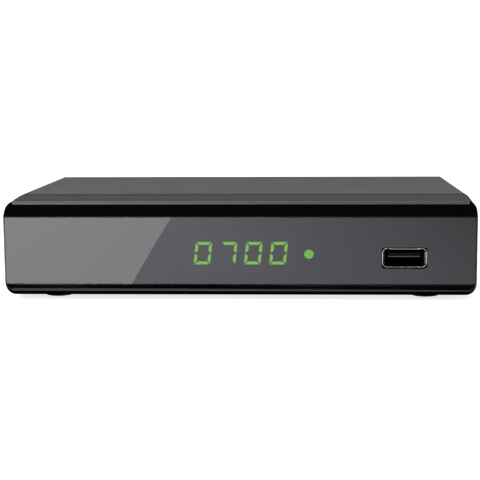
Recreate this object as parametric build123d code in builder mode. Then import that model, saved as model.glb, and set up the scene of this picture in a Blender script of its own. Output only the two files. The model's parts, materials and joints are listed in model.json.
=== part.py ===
from build123d import *
import os
from math import cos, radians, sin, tan

os.makedirs("parts", exist_ok=True)

# Satellite receiver, millimetres. X to the right seen from the front, Y to the back, Z up.
# Origin: on the table, under the middle of the overall length and width.

# ---- Case ----
case_width = 160.0          # across the fascia
case_depth = 102.0          # front face to the rear wall's outer face
fascia_height = 31.75       # fascia's underside to its roof
foot_height = 2.05
thread_reach = 9.5          # the aerial socket's thread beyond the rear wall
sheet = 0.8                 # pressed steel of the chassis and the cover
fit_gap = 0.1               # between pieces that slide together
seam_gap = 0.3              # the visible joint in front of the cover

front_y = -(case_depth + thread_reach) / 2
rear_y = front_y + case_depth
base_z = foot_height
roof_z = base_z + fascia_height
fascia_mid_z = base_z + fascia_height / 2

# ---- Fascia ----
top_radius = 3.0            # the case's upper corners, seen from the front
low_radius = 3.5            # its lower corners
rear_top_radius = 1.0       # the same corners at the seam, where they have run out
rear_low_radius = 1.2
side_draw = 0.6             # each side's draw inwards from the bezel to the seam
bezel_depth = 6.6           # the gloss frame, front to back
fascia_depth = 26.0         # front face to the seam with the cover
fascia_wall = 2.0
skirt_length = 3.0          # the bezel's collar inside the fascia body
skirt_wall = 1.2
bevel_angle = 45.0          # the bezel's upper slope, from the vertical
bevel_gap = 0.15            # the slope's foot above the window
chin_radius = 1.7           # the bezel's lower front edge
chin_steps = 4              # sections that shape it
strip_height = 1.2          # the fascia body's sloped strip above the bevel
strip_run = 2.4             # how far its slope leans back
strip_edge = 0.3            # its upright front edge
strip_inset = 2.35          # from the case's side to the strip's end
lip_length = 3.6            # the tongue that the cover slides over
lip_wall = 1.5
lip_root = 4.0
lip_radius = 1.0
catch_width = 8.0           # snap catches on the collar
catch_run = 2.0
catch_rise = 0.8
catch_count = 3             # above and again below
catch_back = 0.4            # from the collar's end
rib_count = 4               # stiffening ribs behind the window's tray
rib_thick = 1.0
rib_depth = 3.0
rib_pitch = 11.0
rib_side = 26.0             # the middle of their row from the case's left side

# ---- Front window ----
window_margin = 0.5         # from the case's side to the window
window_height = 22.7
window_base = 3.95          # its lower edge above the case's underside
window_thick = 2.0
tray_wall = 1.6             # the bezel's wall that the window is stuck to
tray_radius = 0.6
window_width = case_width - 2 * window_margin
window_mid_z = base_z + window_base + window_height / 2
window_top_z = window_mid_z + window_height / 2

# ---- Steel case ----
cover_step = 1.2            # the cover's side inside the fascia's
cover_rise = 0.3            # the cover's top above the fascia's roof
cover_fold = 1.1            # outside radius of its long edges
cover_lift = 0.4            # its lower edge above the chassis's underside
chassis_fold = 0.9          # the same for the chassis's lower edges
flange_height = 12.0        # the chassis's upturned sides
cover_width = case_width - 2 * cover_step
seam_y = front_y + fascia_depth
cover_front_y = seam_y + seam_gap
cover_top_z = roof_z + cover_rise
cover_inner = cover_width / 2 - sheet
chassis_half = cover_inner - fit_gap
wall_top_z = cover_top_z - sheet - fit_gap
floor_z = base_z + sheet
flange_front_y = seam_y + lip_length + seam_gap

vent_slot = 1.8
vent_length = 13.0
vent_pitch = 4.2
side_vents = 13
floor_vents = 17
side_vent_rise = 21.0       # the side slots' middle above the case's underside
side_vent_z = base_z + side_vent_rise
vent_mid_y = (cover_front_y + rear_y) / 2

# ---- Feet ----
foot_radius = 5.0
foot_side = 16.0            # the feet's centre from the case's side
foot_front = 14.0           # the front feet's centre behind the front face
foot_rear = 12.0            # the rear feet's centre before the rear wall
foot_draft = 3.0
foot_edge = 0.4
foot_x = case_width / 2 - foot_side

# ---- Screws ----
screw_head = 2.3            # radius
screw_head_height = 1.1
screw_head_edge = 0.5
screw_shank = 1.2           # radius
screw_drive = 2.4           # the cross's length
screw_drive_width = 0.6
screw_drive_depth = 0.7
screw_end_gap = 0.4         # below a screw's end
cover_screw_rise = 7.0      # above the case's underside
cover_screw_inset = 12.0    # from the cover's front and rear edges
cover_screw_length = 4.0
front_screw_length = 7.0
lip_screw_side = 28.0       # the fascia screws from the case's side
lip_boss_width = 7.0

# ---- Main board ----
board_thick = 1.6
board_side_gap = 4.9        # from the chassis's side
board_front = 17.0          # its front edge behind the front face
board_rear_gap = 0.6
standoff_height = 3.6
standoff_radius = 3.0
standoff_draft = 8.0
board_hole_side = 5.0       # the fixing holes from the board's side
board_hole_front = 17.0     # from its front edge
board_hole_rear = 34.0      # from its rear edge
board_half = chassis_half - board_side_gap
board_z = floor_z + standoff_height
board_top_z = board_z + board_thick
board_front_y = front_y + board_front
board_rear_y = rear_y - sheet - board_rear_gap
board_hole_x = board_half - board_hole_side
board_holes = [(x, y) for x in (-board_hole_x, board_hole_x)
               for y in (board_front_y + board_hole_front, board_rear_y - board_hole_rear)]

# ---- Display ----
display_offset = 0.2        # from the case's middle
display_drop = 1.15         # its middle below the window's middle
display_width = 38.0
display_height = 12.6
display_depth = 8.0
display_back = 2.6          # its face behind the front face
display_edge = 0.3
display_y = front_y + display_back
display_z = window_mid_z - display_drop
digit_height = 7.7
digit_width = 5.4
digit_pitch = 8.5
digit_slant = 7.5           # degrees
segment_width = 1.0
segment_thick = 0.3
segment_gap = 0.1
holder_wall = 1.4
holder_inset = (2.0, 1.0)   # the holder's outline inside the display's

# ---- Indicator lamp and infrared receiver ----
led_offset = 23.3           # right of the display's middle
led_drop = 1.45             # below the window's middle
led_radius = 1.75
led_length = 5.4
led_dome = 0.9
led_spacer_rim = 0.6
led_lead_radius = 0.3
led_lead_pitch = 1.27
led_x = display_offset + led_offset
led_z = window_mid_z - led_drop
ir_offset = 11.0            # right of the lamp
ir_size = (7.0, 5.2)
ir_depth = 3.6
ir_lens_radius = 2.2
ir_lens_reach = 1.6
ir_lens_taper = 20.0
ir_hole_radius = 2.2
ir_x = led_x + ir_offset

# ---- Front port ----
usb_side = 24.3             # its middle from the case's right side
usb_drop = 2.45             # below the window's middle
usb_mouth = (15.0, 6.8)     # the flared rim
usb_body = (13.1, 5.72)     # the plain shell
usb_flare = 2.2             # how deep the flare runs
usb_sheet = 0.3
usb_radius = 0.7
usb_clear = 0.2             # round the rim in the bezel
usb_tongue = (11.0, 1.5)
usb_tongue_length = 8.8
usb_tongue_rise = 0.9       # above the port's middle
usb_tongue_edge = 0.25
usb_block = 3.6             # the moulding that holds the tongue
usb_contact = (1.0, 0.25)   # width and thickness
usb_contact_pitch = 2.3
usb_contact_inset = 0.8     # from each end of the tongue
usb_x = case_width / 2 - usb_side
usb_z = window_mid_z - usb_drop

# ---- Front board ----
front_board_back = 14.0     # its front side behind the front face
front_board_side = 32.0     # its left end from the case's side
front_board_over = 14.3     # its right end beyond the port's middle
front_board_height = 20.0
front_board_rise = 0.2      # above the main board
post_radius = 2.8
post_inset = (4.0, 26.0)    # the posts from the board's left and right ends
post_drop = 3.35            # below the board's upper edge
front_board_y = front_y + front_board_back
front_board_back_y = front_board_y + board_thick
front_board_z = board_top_z + front_board_rise
front_board_left = -case_width / 2 + front_board_side
front_board_right = usb_x + front_board_over
post_x = (front_board_left + post_inset[0], front_board_right - post_inset[1])
post_z = front_board_z + front_board_height - post_drop

# ---- Rear sockets: their sizes, and their places along the rear wall ----
can_size = (26.0, 22.0, 15.0)       # tuner can
lnb_rise = 8.4                      # the aerial socket above the board
thread_radius = 4.76                # 3/8-32 thread over its crests
neck_radius = 4.5                   # below the thread
thread_start = 0.5                  # the thread's first turn beyond the nut
socket_edge = 0.4
insulator_radius = 3.2
insulator_sink = 0.6                # its face inside the socket's end
centre_hole = 0.6                   # radius of the hole for the cable's wire
washer_radius = 6.6
washer_thick = 0.6
washer_teeth = 12
washer_notch = (1.4, 0.8)
nut_thick = 2.2
nut_flat = 5.5                      # half across the flats
nut_slope = 60.0
spdif_body_size = (10.0, 12.0)
spdif_body_depth = 11.0
spdif_rise = 7.0
barrel_radius = 4.15
barrel_neck = 3.85                  # where it leaves the body
barrel_bore = 3.4
barrel_reach = 8.0
barrel_start = 0.3                  # the full barrel's start beyond the rear wall
barrel_sink = 0.5
barrel_pin_hole = 1.65
barrel_edge = 0.3
scart_size = (47.0, 19.0)
scart_cavity = (43.0, 13.0)
scart_groove = 2.0
scart_corner = 4.2                  # the cut corner
scart_depth = 24.0
scart_reach = 1.0
scart_well = 12.0
scart_block_sink = 0.8
scart_row_rise = 2.1                # each row of contacts from the middle
scart_row_shift = 0.95
scart_row_count = 10
scart_pitch = 3.81
scart_slot = (0.8, 2.2, 3.0)
hdmi_size = (15.0, 6.2)
hdmi_corner = 2.0
hdmi_sheet = 0.4
hdmi_depth = 11.5
hdmi_reach = 0.7
hdmi_block = 3.0
hdmi_tongue_size = (10.4, 1.0)
hdmi_tongue_rise = 0.3
hdmi_tongue_sink = 1.5
dc_size = (9.0, 11.0)
dc_rise = 0.4                       # above the board, on a foot
dc_foot_inset = (1.0, 2.5)
dc_depth = 13.5
dc_reach = 0.5
dc_bore = 3.1                       # radius
dc_bore_depth = 9.5
dc_pin_radius = 1.05
dc_pin_sink = 0.8
dc_pin_edge = 0.4
switch_rise = 14.6                  # above the case's underside
switch_body_size = (13.4, 8.8)
switch_bezel_size = (15.4, 10.8)
switch_bezel_thick = 1.5
switch_bezel_radius = 0.8
switch_depth = 12.0
switch_cavity = (12.2, 6.6)
switch_cavity_depth = 6.2
switch_leg = (1.0, 2.0)
switch_leg_pitch = 5.0
switch_leg_inset = 1.5
rocker_half = 5.4
rocker_tilt = 10.0                  # each way from the middle
rocker_rise = 3.0                   # its ends above the pivot
rocker_dip = 2.3                    # its middle above the pivot
rocker_shoulder = 1.2               # its flanks below the pivot
rocker_keel = (2.2, 3.0)            # half width and depth of its lower end
rocker_clear = 0.3
pivot_radius = 0.9
pivot_reach = 0.9
pivot_gap = 0.05
pivot_depth = 2.0                   # below the switch's face
socket_gap = 0.3                    # round each socket in the rear wall

# The sockets stand in one row with even gaps, from the right side to the left.
socket_widths = {"aerial": can_size[0], "sound": spdif_body_size[0], "scart": scart_size[0],
                 "video": hdmi_size[0], "power": dc_size[0], "switch": switch_bezel_size[0]}
even_gap = (2 * board_half - sum(socket_widths.values())) / (len(socket_widths) + 1)
socket_x = {}
free_edge = board_half
for socket, width in socket_widths.items():
    socket_x[socket] = free_edge - even_gap - width / 2
    free_edge -= even_gap + width
lnb_x, spdif_x, scart_x = socket_x["aerial"], socket_x["sound"], socket_x["scart"]
hdmi_x, dc_x, switch_x = socket_x["video"], socket_x["power"], socket_x["switch"]
lnb_z = board_top_z + lnb_rise
spdif_z = board_top_z + spdif_rise
scart_z = board_top_z + scart_size[1] / 2
hdmi_z = board_top_z + hdmi_size[1] / 2
dc_z = board_top_z + dc_rise + dc_size[1] / 2
switch_z = base_z + switch_rise

# ---- Parts on the main board, placed from its front edge and from the sockets ----
soc_size = (17.0, 17.0, 1.6)
soc_place = (-6.0, 34.0)
sink_size = (30.0, 30.0, 9.0)
sink_base = 2.0
fin_count = 9
fin_thick = 1.1
fin_draft = 1.5
memory_size = (13.0, 9.0, 1.2)
memory_place = (21.0, 36.0)
flash_size = (5.3, 5.3, 1.8)
flash_place = (21.0, 24.0)
tuner_chip_size = (6.0, 6.0, 1.0)
tuner_chip_offset = (-18.0, 6.0)    # from the tuner can's middle, and before its front
chip_edge = 0.2
crystal_size = (11.0, 4.6, 3.4)
crystal_place = (16.0, 15.0)
crystal_edge = 0.4
capacitor_radius = 4.0
capacitor_height = 12.0
capacitor_edge = 0.5
capacitor_crimp = (1.6, 0.8, 0.4)   # the crimped groove: its height, width and depth
capacitor_vent = (4.4, 0.4, 0.2)    # the cross pressed in the top
capacitor_count = 3
capacitor_pitch = 11.0
capacitor_back = 26.0               # their row before the board's rear edge
choke_size = 7.3
choke_height = 4.5
choke_radius = 1.4
choke_edge = 0.4
choke_count = 2
choke_back = 42.0
can_sheet = 0.4
can_edge = 0.6
can_inset = 1.0                     # the can's rear face before the board's rear edge
can_hole = 1.1
can_hole_pitch = 5.0
can_holes = (4, 3)
link_size = (25.4, 5.0, 3.2)        # the joint between the two boards
link_inset = 24.0                   # its middle from the front board's left end
link_slot = (1.2, 3.0, 0.6)
link_pitch = 2.54
link_count = 9
power_x = (dc_x + switch_x) / 2     # the middle of the power parts


def across(y):
    # A plane that stands across the case at depth y: X to the right, Z up.
    return Plane.XZ.offset(-y)


def level(z):
    # A horizontal plane at height z.
    return Plane.XY.offset(z)


def face_outline(width, low_z, high_z, low_corner, high_corner):
    # A rectangle with its own radius at the lower and at the upper corners, in the sketch being drawn.
    with BuildSketch(mode=Mode.PRIVATE) as outline:
        with Locations((0, (low_z + high_z) / 2)):
            Rectangle(width, high_z - low_z)
        fillet(outline.vertices().group_by(Axis.Y)[0], low_corner)
        fillet(outline.vertices().group_by(Axis.Y)[-1], high_corner)
    add(outline.sketch)


def screw_set(plane, spots, shank_length):
    # Pan-head screws: heads stand on the plane, shanks run into it, cross drive in each head.
    with BuildPart() as screws:
        with BuildSketch(plane):
            with Locations(*spots):
                Circle(screw_head)
        extrude(amount=screw_head_height)
        head_axis = Axis(plane.origin, plane.z_dir)
        chamfer(screws.faces().sort_by(head_axis)[-len(spots):].edges(), screw_head_edge)
        with BuildSketch(plane):
            with Locations(*spots):
                Circle(screw_shank)
        extrude(amount=-shank_length)
        with BuildSketch(plane.offset(screw_head_height)):
            with Locations(*spots):
                Rectangle(screw_drive, screw_drive_width)
                Rectangle(screw_drive_width, screw_drive)
        extrude(amount=-screw_drive_depth, mode=Mode.SUBTRACT)
    return screws.part


# ---- Gloss bezel: a shallow tray that holds the window, with a sloped upper edge ----
bevel_foot_z = window_top_z + bevel_gap
bevel_lean = tan(radians(bevel_angle))
tray_back_y = front_y + window_thick + tray_wall
bezel_back_y = front_y + bezel_depth
collar_end_y = bezel_back_y + skirt_length
strip_half = case_width / 2 - strip_inset
strip_floor_z = roof_z - strip_height
collar_inset = fascia_wall + fit_gap
bezel_wall = collar_inset + skirt_wall
collar_low_z = base_z + collar_inset
collar_high_z = roof_z - collar_inset
catch_y = collar_end_y - catch_back - catch_run
catch_pitch = case_width / (catch_count + 1)
catch_x = [(number - (catch_count - 1) / 2) * catch_pitch for number in range(catch_count)]
rib_mid_x = rib_side - case_width / 2
tray_height = fascia_height - 2 * bezel_wall
post_spots = [(x, post_z) for x in post_x]

with BuildPart() as front_bezel:
    # the lower front edge is rounded all the way round its corners
    for step in range(chin_steps):
        turn = radians(90 * step / (chin_steps - 1))
        with BuildSketch(across(front_y + chin_radius * (1 - cos(turn)))):
            face_outline(case_width, base_z + chin_radius * (1 - sin(turn)), roof_z, low_radius, top_radius)
    loft()
    with BuildSketch(across(front_y + chin_radius)):
        face_outline(case_width, base_z, roof_z, low_radius, top_radius)
    extrude(amount=-(bezel_depth - chin_radius))
    # the collar that locates in the fascia body, and its snap catches
    with BuildSketch(across(bezel_back_y)):
        face_outline(case_width - 2 * collar_inset, collar_low_z, collar_high_z,
                     low_radius - fascia_wall, top_radius - fascia_wall)
    extrude(amount=-skirt_length)
    for face_z, rise in ((collar_high_z, catch_rise), (collar_low_z, -catch_rise)):
        for middle in catch_x:
            with BuildSketch(Plane.YZ.offset(middle)):
                Polygon((catch_y, face_z - rise), (catch_y, face_z + rise),
                        (catch_y + catch_run, face_z), (catch_y + catch_run, face_z - rise), align=None)
            extrude(amount=catch_width / 2, both=True)
    with BuildSketch(across(tray_back_y)):
        with Locations((0, fascia_mid_z)):
            RectangleRounded(case_width - 2 * bezel_wall, tray_height, tray_radius)
    extrude(amount=-(bezel_depth + skirt_length), mode=Mode.SUBTRACT)
    # the window's seat
    with BuildSketch(across(front_y)):
        with Locations((0, window_mid_z)):
            Rectangle(window_width + 2 * fit_gap, window_height + 2 * fit_gap)
    extrude(amount=-window_thick, mode=Mode.SUBTRACT)
    # the upper slope, from the window's edge back to the roof
    bevel_top_z = roof_z + sheet
    with BuildSketch(Plane.YZ):
        Polygon((front_y - sheet, bevel_foot_z), (front_y, bevel_foot_z),
                (front_y + (bevel_top_z - bevel_foot_z) * bevel_lean, bevel_top_z),
                (front_y - sheet, bevel_top_z), align=None)
    extrude(amount=case_width / 2, both=True, mode=Mode.SUBTRACT)
    # the notch that the fascia body's strip fills
    with BuildSketch(across(bezel_back_y)):
        with Locations((0, roof_z)):
            Rectangle(2 * strip_half, 2 * strip_height)
    extrude(amount=bezel_depth, mode=Mode.SUBTRACT)
    # stiffening ribs behind the window, and posts for the front board
    with BuildSketch(across(tray_back_y)):
        with Locations((rib_mid_x, fascia_mid_z)):
            with GridLocations(rib_pitch, 1, rib_count, 1):
                Rectangle(rib_thick, tray_height)
    extrude(amount=-rib_depth)
    with BuildSketch(across(tray_back_y)):
        with Locations(*post_spots):
            Circle(post_radius)
            Circle(screw_shank, mode=Mode.SUBTRACT)
    extrude(amount=-(front_board_y - tray_back_y))
    # openings for the display, the indicator, the infrared eye and the port
    with BuildSketch(across(front_y)):
        with Locations((display_offset, display_z)):
            Rectangle(display_width + 2 * fit_gap, display_height + 2 * fit_gap)
        with Locations((led_x, led_z)):
            Circle(led_radius + fit_gap)
        with Locations((ir_x, led_z)):
            Circle(ir_hole_radius)
        with Locations((usb_x, usb_z)):
            RectangleRounded(usb_mouth[0] + 2 * usb_clear, usb_mouth[1] + 2 * usb_clear, usb_radius)
    extrude(amount=-(window_thick + tray_wall), mode=Mode.SUBTRACT)
front_bezel.part.label = "front_bezel"
export_step(front_bezel.part, "parts/front_bezel.step")

# ---- Matte fascia body: roof, sides and floor behind the bezel ----
lip_half = cover_inner - fit_gap
lip_low_z = floor_z + fit_gap
lip_mid_z = (lip_low_z + wall_top_z) / 2
lip_height = wall_top_z - lip_low_z
lip_screw_x = case_width / 2 - lip_screw_side
lip_screws = [(x, seam_y + lip_length / 2 + fit_gap) for x in (-lip_screw_x, lip_screw_x)]
lip_boss_height = board_z - lip_low_z - screw_end_gap
cavity_half = case_width / 2 - fascia_wall
strip_front_y = front_y + (strip_floor_z - bevel_foot_z) * bevel_lean + fit_gap
strip_low_z = strip_floor_z + fit_gap

with BuildPart() as fascia_body:
    # the outside runs in from the bezel to the seam, and its corners get sharper
    with BuildSketch(across(bezel_back_y)):
        face_outline(case_width, base_z, roof_z, low_radius, top_radius)
    with BuildSketch(across(seam_y)):
        face_outline(case_width - 2 * side_draw, base_z, roof_z, rear_low_radius, rear_top_radius)
    loft()
    with BuildSketch(across(bezel_back_y)):
        face_outline(2 * cavity_half, base_z + fascia_wall, roof_z - fascia_wall,
                     low_radius - fascia_wall, top_radius - fascia_wall)
    extrude(amount=-(fascia_depth - bezel_depth - lip_root), mode=Mode.SUBTRACT)
    # pockets for the bezel's catches
    for face_z in (base_z + fascia_wall, roof_z - fascia_wall):
        with BuildSketch(level(face_z)):
            with Locations(*[(middle, catch_y + catch_run / 2) for middle in catch_x]):
                Rectangle(catch_width + 2 * fit_gap, catch_run + 2 * fit_gap)
        extrude(amount=catch_rise, both=True, mode=Mode.SUBTRACT)
    # the strip above the bevel
    with BuildSketch(Plane.YZ):
        Polygon((bezel_back_y, strip_low_z), (strip_front_y, strip_low_z),
                (strip_front_y, strip_low_z + strip_edge), (strip_front_y + strip_run, roof_z),
                (bezel_back_y, roof_z), align=None)
    extrude(amount=strip_half - fit_gap, both=True)
    # the tongue that the cover slides over
    with BuildSketch(across(seam_y)):
        with Locations((0, lip_mid_z)):
            RectangleRounded(2 * lip_half, lip_height, lip_radius)
    extrude(amount=-lip_length)
    with BuildSketch(across(seam_y + lip_length)):
        with Locations((0, lip_mid_z)):
            Rectangle(2 * (lip_half - lip_wall), lip_height - 2 * lip_wall)
    extrude(amount=lip_length + lip_root, mode=Mode.SUBTRACT)
    # bosses for the screws that come up through the chassis
    with BuildSketch(level(lip_low_z)):
        with Locations(*lip_screws):
            Rectangle(lip_boss_width, lip_length)
    extrude(amount=lip_boss_height)
    with BuildSketch(level(lip_low_z)):
        with Locations(*lip_screws):
            Circle(screw_shank)
    extrude(amount=lip_boss_height, mode=Mode.SUBTRACT)
fascia_body.part.label = "fascia_body"
export_step(fascia_body.part, "parts/fascia_body.step")

# ---- Smoked window ----
with BuildPart() as front_window:
    with BuildSketch(across(front_y)):
        with Locations((0, window_mid_z)):
            Rectangle(window_width, window_height)
        with Locations((usb_x, usb_z)):
            RectangleRounded(usb_mouth[0] + 2 * fit_gap, usb_mouth[1] + 2 * fit_gap,
                             usb_radius + fit_gap, mode=Mode.SUBTRACT)
    extrude(amount=-window_thick)
front_window.part.label = "front_window"
export_step(front_window.part, "parts/front_window.step")

# ---- Chassis: floor, upturned sides and rear wall in one pressing ----
chassis_front_y = seam_y + fit_gap
cover_screw_z = base_z + cover_screw_rise
cover_screw_spots = [(cover_front_y + cover_screw_inset, cover_screw_z),
                     (rear_y - cover_screw_inset, cover_screw_z)]

with BuildPart() as chassis:
    with BuildSketch(across(flange_front_y)) as pan_outline:
        with Locations((0, base_z + flange_height / 2)):
            Rectangle(2 * chassis_half, flange_height)
        fillet(pan_outline.vertices().group_by(Axis.Y)[0], chassis_fold)
        with Locations((0, floor_z + flange_height / 2)):
            Rectangle(2 * (chassis_half - sheet), flange_height, mode=Mode.SUBTRACT)
    extrude(amount=-(rear_y - flange_front_y))
    # the floor's front edge, which carries the fascia
    with BuildSketch(level(base_z)):
        with Locations((0, (chassis_front_y + flange_front_y) / 2)):
            Rectangle(2 * (chassis_half - chassis_fold), flange_front_y - chassis_front_y)
    extrude(amount=sheet)
    with BuildSketch(across(rear_y)):
        face_outline(2 * chassis_half, base_z, wall_top_z, chassis_fold, cover_fold - sheet)
    extrude(amount=sheet)
    # pressed standoffs
    with BuildSketch(level(floor_z)):
        with Locations(*board_holes):
            Circle(standoff_radius)
    extrude(amount=standoff_height, taper=standoff_draft)
    with BuildSketch(level(base_z)):
        with Locations(*board_holes):
            Circle(screw_shank)
        with Locations(*lip_screws):
            Circle(screw_shank + fit_gap)
    extrude(amount=sheet + standoff_height, mode=Mode.SUBTRACT)
    # floor vents, two rows
    with BuildSketch(level(base_z)):
        with Locations((0, vent_mid_y)):
            with GridLocations(vent_pitch, 2 * vent_length, floor_vents, 2):
                SlotOverall(vent_length, vent_slot, rotation=90)
    extrude(amount=sheet, mode=Mode.SUBTRACT)
    # cover screws through the sides
    with BuildSketch(Plane.YZ):
        with Locations(*cover_screw_spots):
            Circle(screw_shank + fit_gap)
    extrude(amount=chassis_half, both=True, mode=Mode.SUBTRACT)
    # socket openings in the rear wall
    with BuildSketch(across(rear_y)):
        with Locations((lnb_x, lnb_z)):
            Circle(thread_radius + fit_gap)
        with Locations((spdif_x, spdif_z)):
            Circle(barrel_radius + socket_gap)
        for spot, size in (((scart_x, scart_z), scart_size), ((hdmi_x, hdmi_z), hdmi_size),
                           ((dc_x, dc_z), dc_size)):
            with Locations(spot):
                Rectangle(size[0] + 2 * socket_gap, size[1] + 2 * socket_gap)
        with Locations((switch_x, switch_z)):
            Rectangle(switch_body_size[0] + 2 * fit_gap, switch_body_size[1] + 2 * fit_gap)
    extrude(amount=sheet, mode=Mode.SUBTRACT)
chassis.part.label = "chassis"
export_step(chassis.part, "parts/chassis.step")

# ---- Top cover: one folded sheet, vented at its sides ----
cover_low_z = base_z + cover_lift
with BuildPart() as top_cover:
    with BuildSketch(across(cover_front_y)) as cover_outline:
        with Locations((0, (cover_low_z + cover_top_z) / 2)):
            Rectangle(cover_width, cover_top_z - cover_low_z)
        fillet(cover_outline.vertices().group_by(Axis.Y)[-1], cover_fold)
    extrude(amount=-(rear_y - cover_front_y))
    with BuildSketch(across(cover_front_y)) as cover_hollow:
        with Locations((0, (cover_low_z + cover_top_z - sheet) / 2)):
            Rectangle(2 * cover_inner, cover_top_z - sheet - cover_low_z)
        fillet(cover_hollow.vertices().group_by(Axis.Y)[-1], cover_fold - sheet)
    extrude(amount=-(rear_y - cover_front_y), mode=Mode.SUBTRACT)
    with BuildSketch(Plane.YZ):
        with Locations((vent_mid_y, side_vent_z)):
            with GridLocations(vent_pitch, 1, side_vents, 1):
                SlotOverall(vent_length, vent_slot, rotation=90)
        with Locations(*cover_screw_spots):
            Circle(screw_shank + fit_gap)
    extrude(amount=cover_width / 2, both=True, mode=Mode.SUBTRACT)
top_cover.part.label = "top_cover"
export_step(top_cover.part, "parts/top_cover.step")

# ---- Rubber feet: turned buttons with a broken rim ----
foot_front_y = front_y + foot_front
foot_rear_y = rear_y - foot_rear
foot_spots = {"foot_front_left": (-foot_x, foot_front_y), "foot_front_right": (foot_x, foot_front_y),
              "foot_rear_left": (-foot_x, foot_rear_y), "foot_rear_right": (foot_x, foot_rear_y)}
for foot_name, foot_spot in foot_spots.items():
    with BuildPart() as foot:
        with BuildSketch(Plane.XY):
            with Locations(foot_spot):
                Circle(foot_radius)
        extrude(amount=foot_height, taper=-foot_draft)
        chamfer(foot.faces().sort_by(Axis.Z)[0].edges(), foot_edge)
    foot.part.label = foot_name
    export_step(foot.part, f"parts/{foot_name}.step")

# ---- Main board ----
with BuildPart() as main_board:
    with BuildSketch(level(board_z)):
        with Locations((0, (board_front_y + board_rear_y) / 2)):
            Rectangle(2 * board_half, board_rear_y - board_front_y)
        with Locations(*board_holes):
            Circle(screw_shank + fit_gap, mode=Mode.SUBTRACT)
    extrude(amount=board_thick)
main_board.part.label = "main_board"
export_step(main_board.part, "parts/main_board.step")

# ---- Front board, upright behind the window ----
with BuildPart() as front_board:
    with BuildSketch(across(front_board_y)):
        with Locations(((front_board_left + front_board_right) / 2, front_board_z + front_board_height / 2)):
            Rectangle(front_board_right - front_board_left, front_board_height)
        with Locations(*post_spots):
            Circle(screw_shank + fit_gap, mode=Mode.SUBTRACT)
    extrude(amount=-board_thick)
front_board.part.label = "front_board"
export_step(front_board.part, "parts/front_board.step")

# ---- Display: block, holder and lit segments ----
with BuildPart() as display_module:
    with BuildSketch(across(display_y)):
        with Locations((display_offset, display_z)):
            Rectangle(display_width, display_height)
    extrude(amount=-display_depth)
    chamfer(display_module.faces().sort_by(Axis.Y)[0].edges(), display_edge)
display_module.part.label = "display_module"
export_step(display_module.part, "parts/display_module.step")

holder_size = (display_width - 2 * holder_inset[0], display_height - 2 * holder_inset[1])
with BuildPart() as display_holder:
    with BuildSketch(across(display_y + display_depth)):
        with Locations((display_offset, display_z)):
            Rectangle(*holder_size)
            Rectangle(holder_size[0] - 2 * holder_wall, holder_size[1] - 2 * holder_wall,
                      mode=Mode.SUBTRACT)
    extrude(amount=-(front_board_y - display_y - display_depth))
display_holder.part.label = "display_holder"
export_step(display_holder.part, "parts/display_holder.step")

# A figure's bars, mitred where they meet: the upper bar, and the upper half of its left side.
# The others are their mirror images. Each entry: the shape, then the signs along X and Z.
half_w = digit_width / 2
half_h = digit_height / 2
upper_bar = [(segment_gap - half_w, half_h), (half_w - segment_gap, half_h),
             (half_w - segment_gap - segment_width, half_h - segment_width),
             (segment_gap + segment_width - half_w, half_h - segment_width)]
side_bar = [(-half_w, half_h - segment_gap),
            (segment_width - half_w, half_h - segment_gap - segment_width),
            (segment_width - half_w, segment_gap + segment_width / 2),
            (segment_width / 2 - half_w, segment_gap), (-half_w, segment_gap + segment_width / 2)]
bars = {"top": (upper_bar, 1, 1), "bottom": (upper_bar, 1, -1),
        "upper_left": (side_bar, 1, 1), "upper_right": (side_bar, -1, 1),
        "lower_left": (side_bar, 1, -1), "lower_right": (side_bar, -1, -1)}
zero = list(bars)
seven = ["top", "upper_right", "lower_right"]
shown = [zero, seven, zero, zero]
shear = tan(radians(digit_slant))

with BuildPart() as lit_segments:
    with BuildSketch(across(display_y - segment_thick)):
        for place, lit in enumerate(shown):
            middle = display_offset + (place - (len(shown) - 1) / 2) * digit_pitch
            for bar in lit:
                shape, x_sign, z_sign = bars[bar]
                corners = [(x_sign * x + z_sign * z * shear, z_sign * z) for x, z in shape]
                Polygon(*[(middle + x, display_z + z) for x, z in corners], align=None)
    extrude(amount=-segment_thick)
lit_segments.part.label = "lit_segments"
export_step(lit_segments.part, "parts/lit_segments.step")

# ---- Indicator lamp and infrared receiver ----
with BuildPart() as power_led:
    with BuildSketch(across(display_y)):
        with Locations((led_x, led_z)):
            Circle(led_radius)
    extrude(amount=-led_length)
    fillet(power_led.faces().sort_by(Axis.Y)[0].edges(), led_dome)
power_led.part.label = "power_led"
export_step(power_led.part, "parts/power_led.step")

with BuildPart() as led_spacer:
    with BuildSketch(across(display_y + led_length)):
        with Locations((led_x, led_z)):
            Circle(led_radius + led_spacer_rim)
            with GridLocations(led_lead_pitch, 1, 2, 1):
                Circle(led_lead_radius, mode=Mode.SUBTRACT)
    extrude(amount=-(front_board_y - display_y - led_length))
led_spacer.part.label = "led_spacer"
export_step(led_spacer.part, "parts/led_spacer.step")

with BuildPart() as ir_receiver:
    with BuildSketch(across(front_board_y)):
        with Locations((ir_x, led_z)):
            Rectangle(*ir_size)
    extrude(amount=ir_depth)
    with BuildSketch(across(front_board_y - ir_depth)):
        with Locations((ir_x, led_z)):
            Circle(ir_lens_radius)
    extrude(amount=ir_lens_reach, taper=ir_lens_taper)
ir_receiver.part.label = "ir_receiver"
export_step(ir_receiver.part, "parts/ir_receiver.step")

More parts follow.
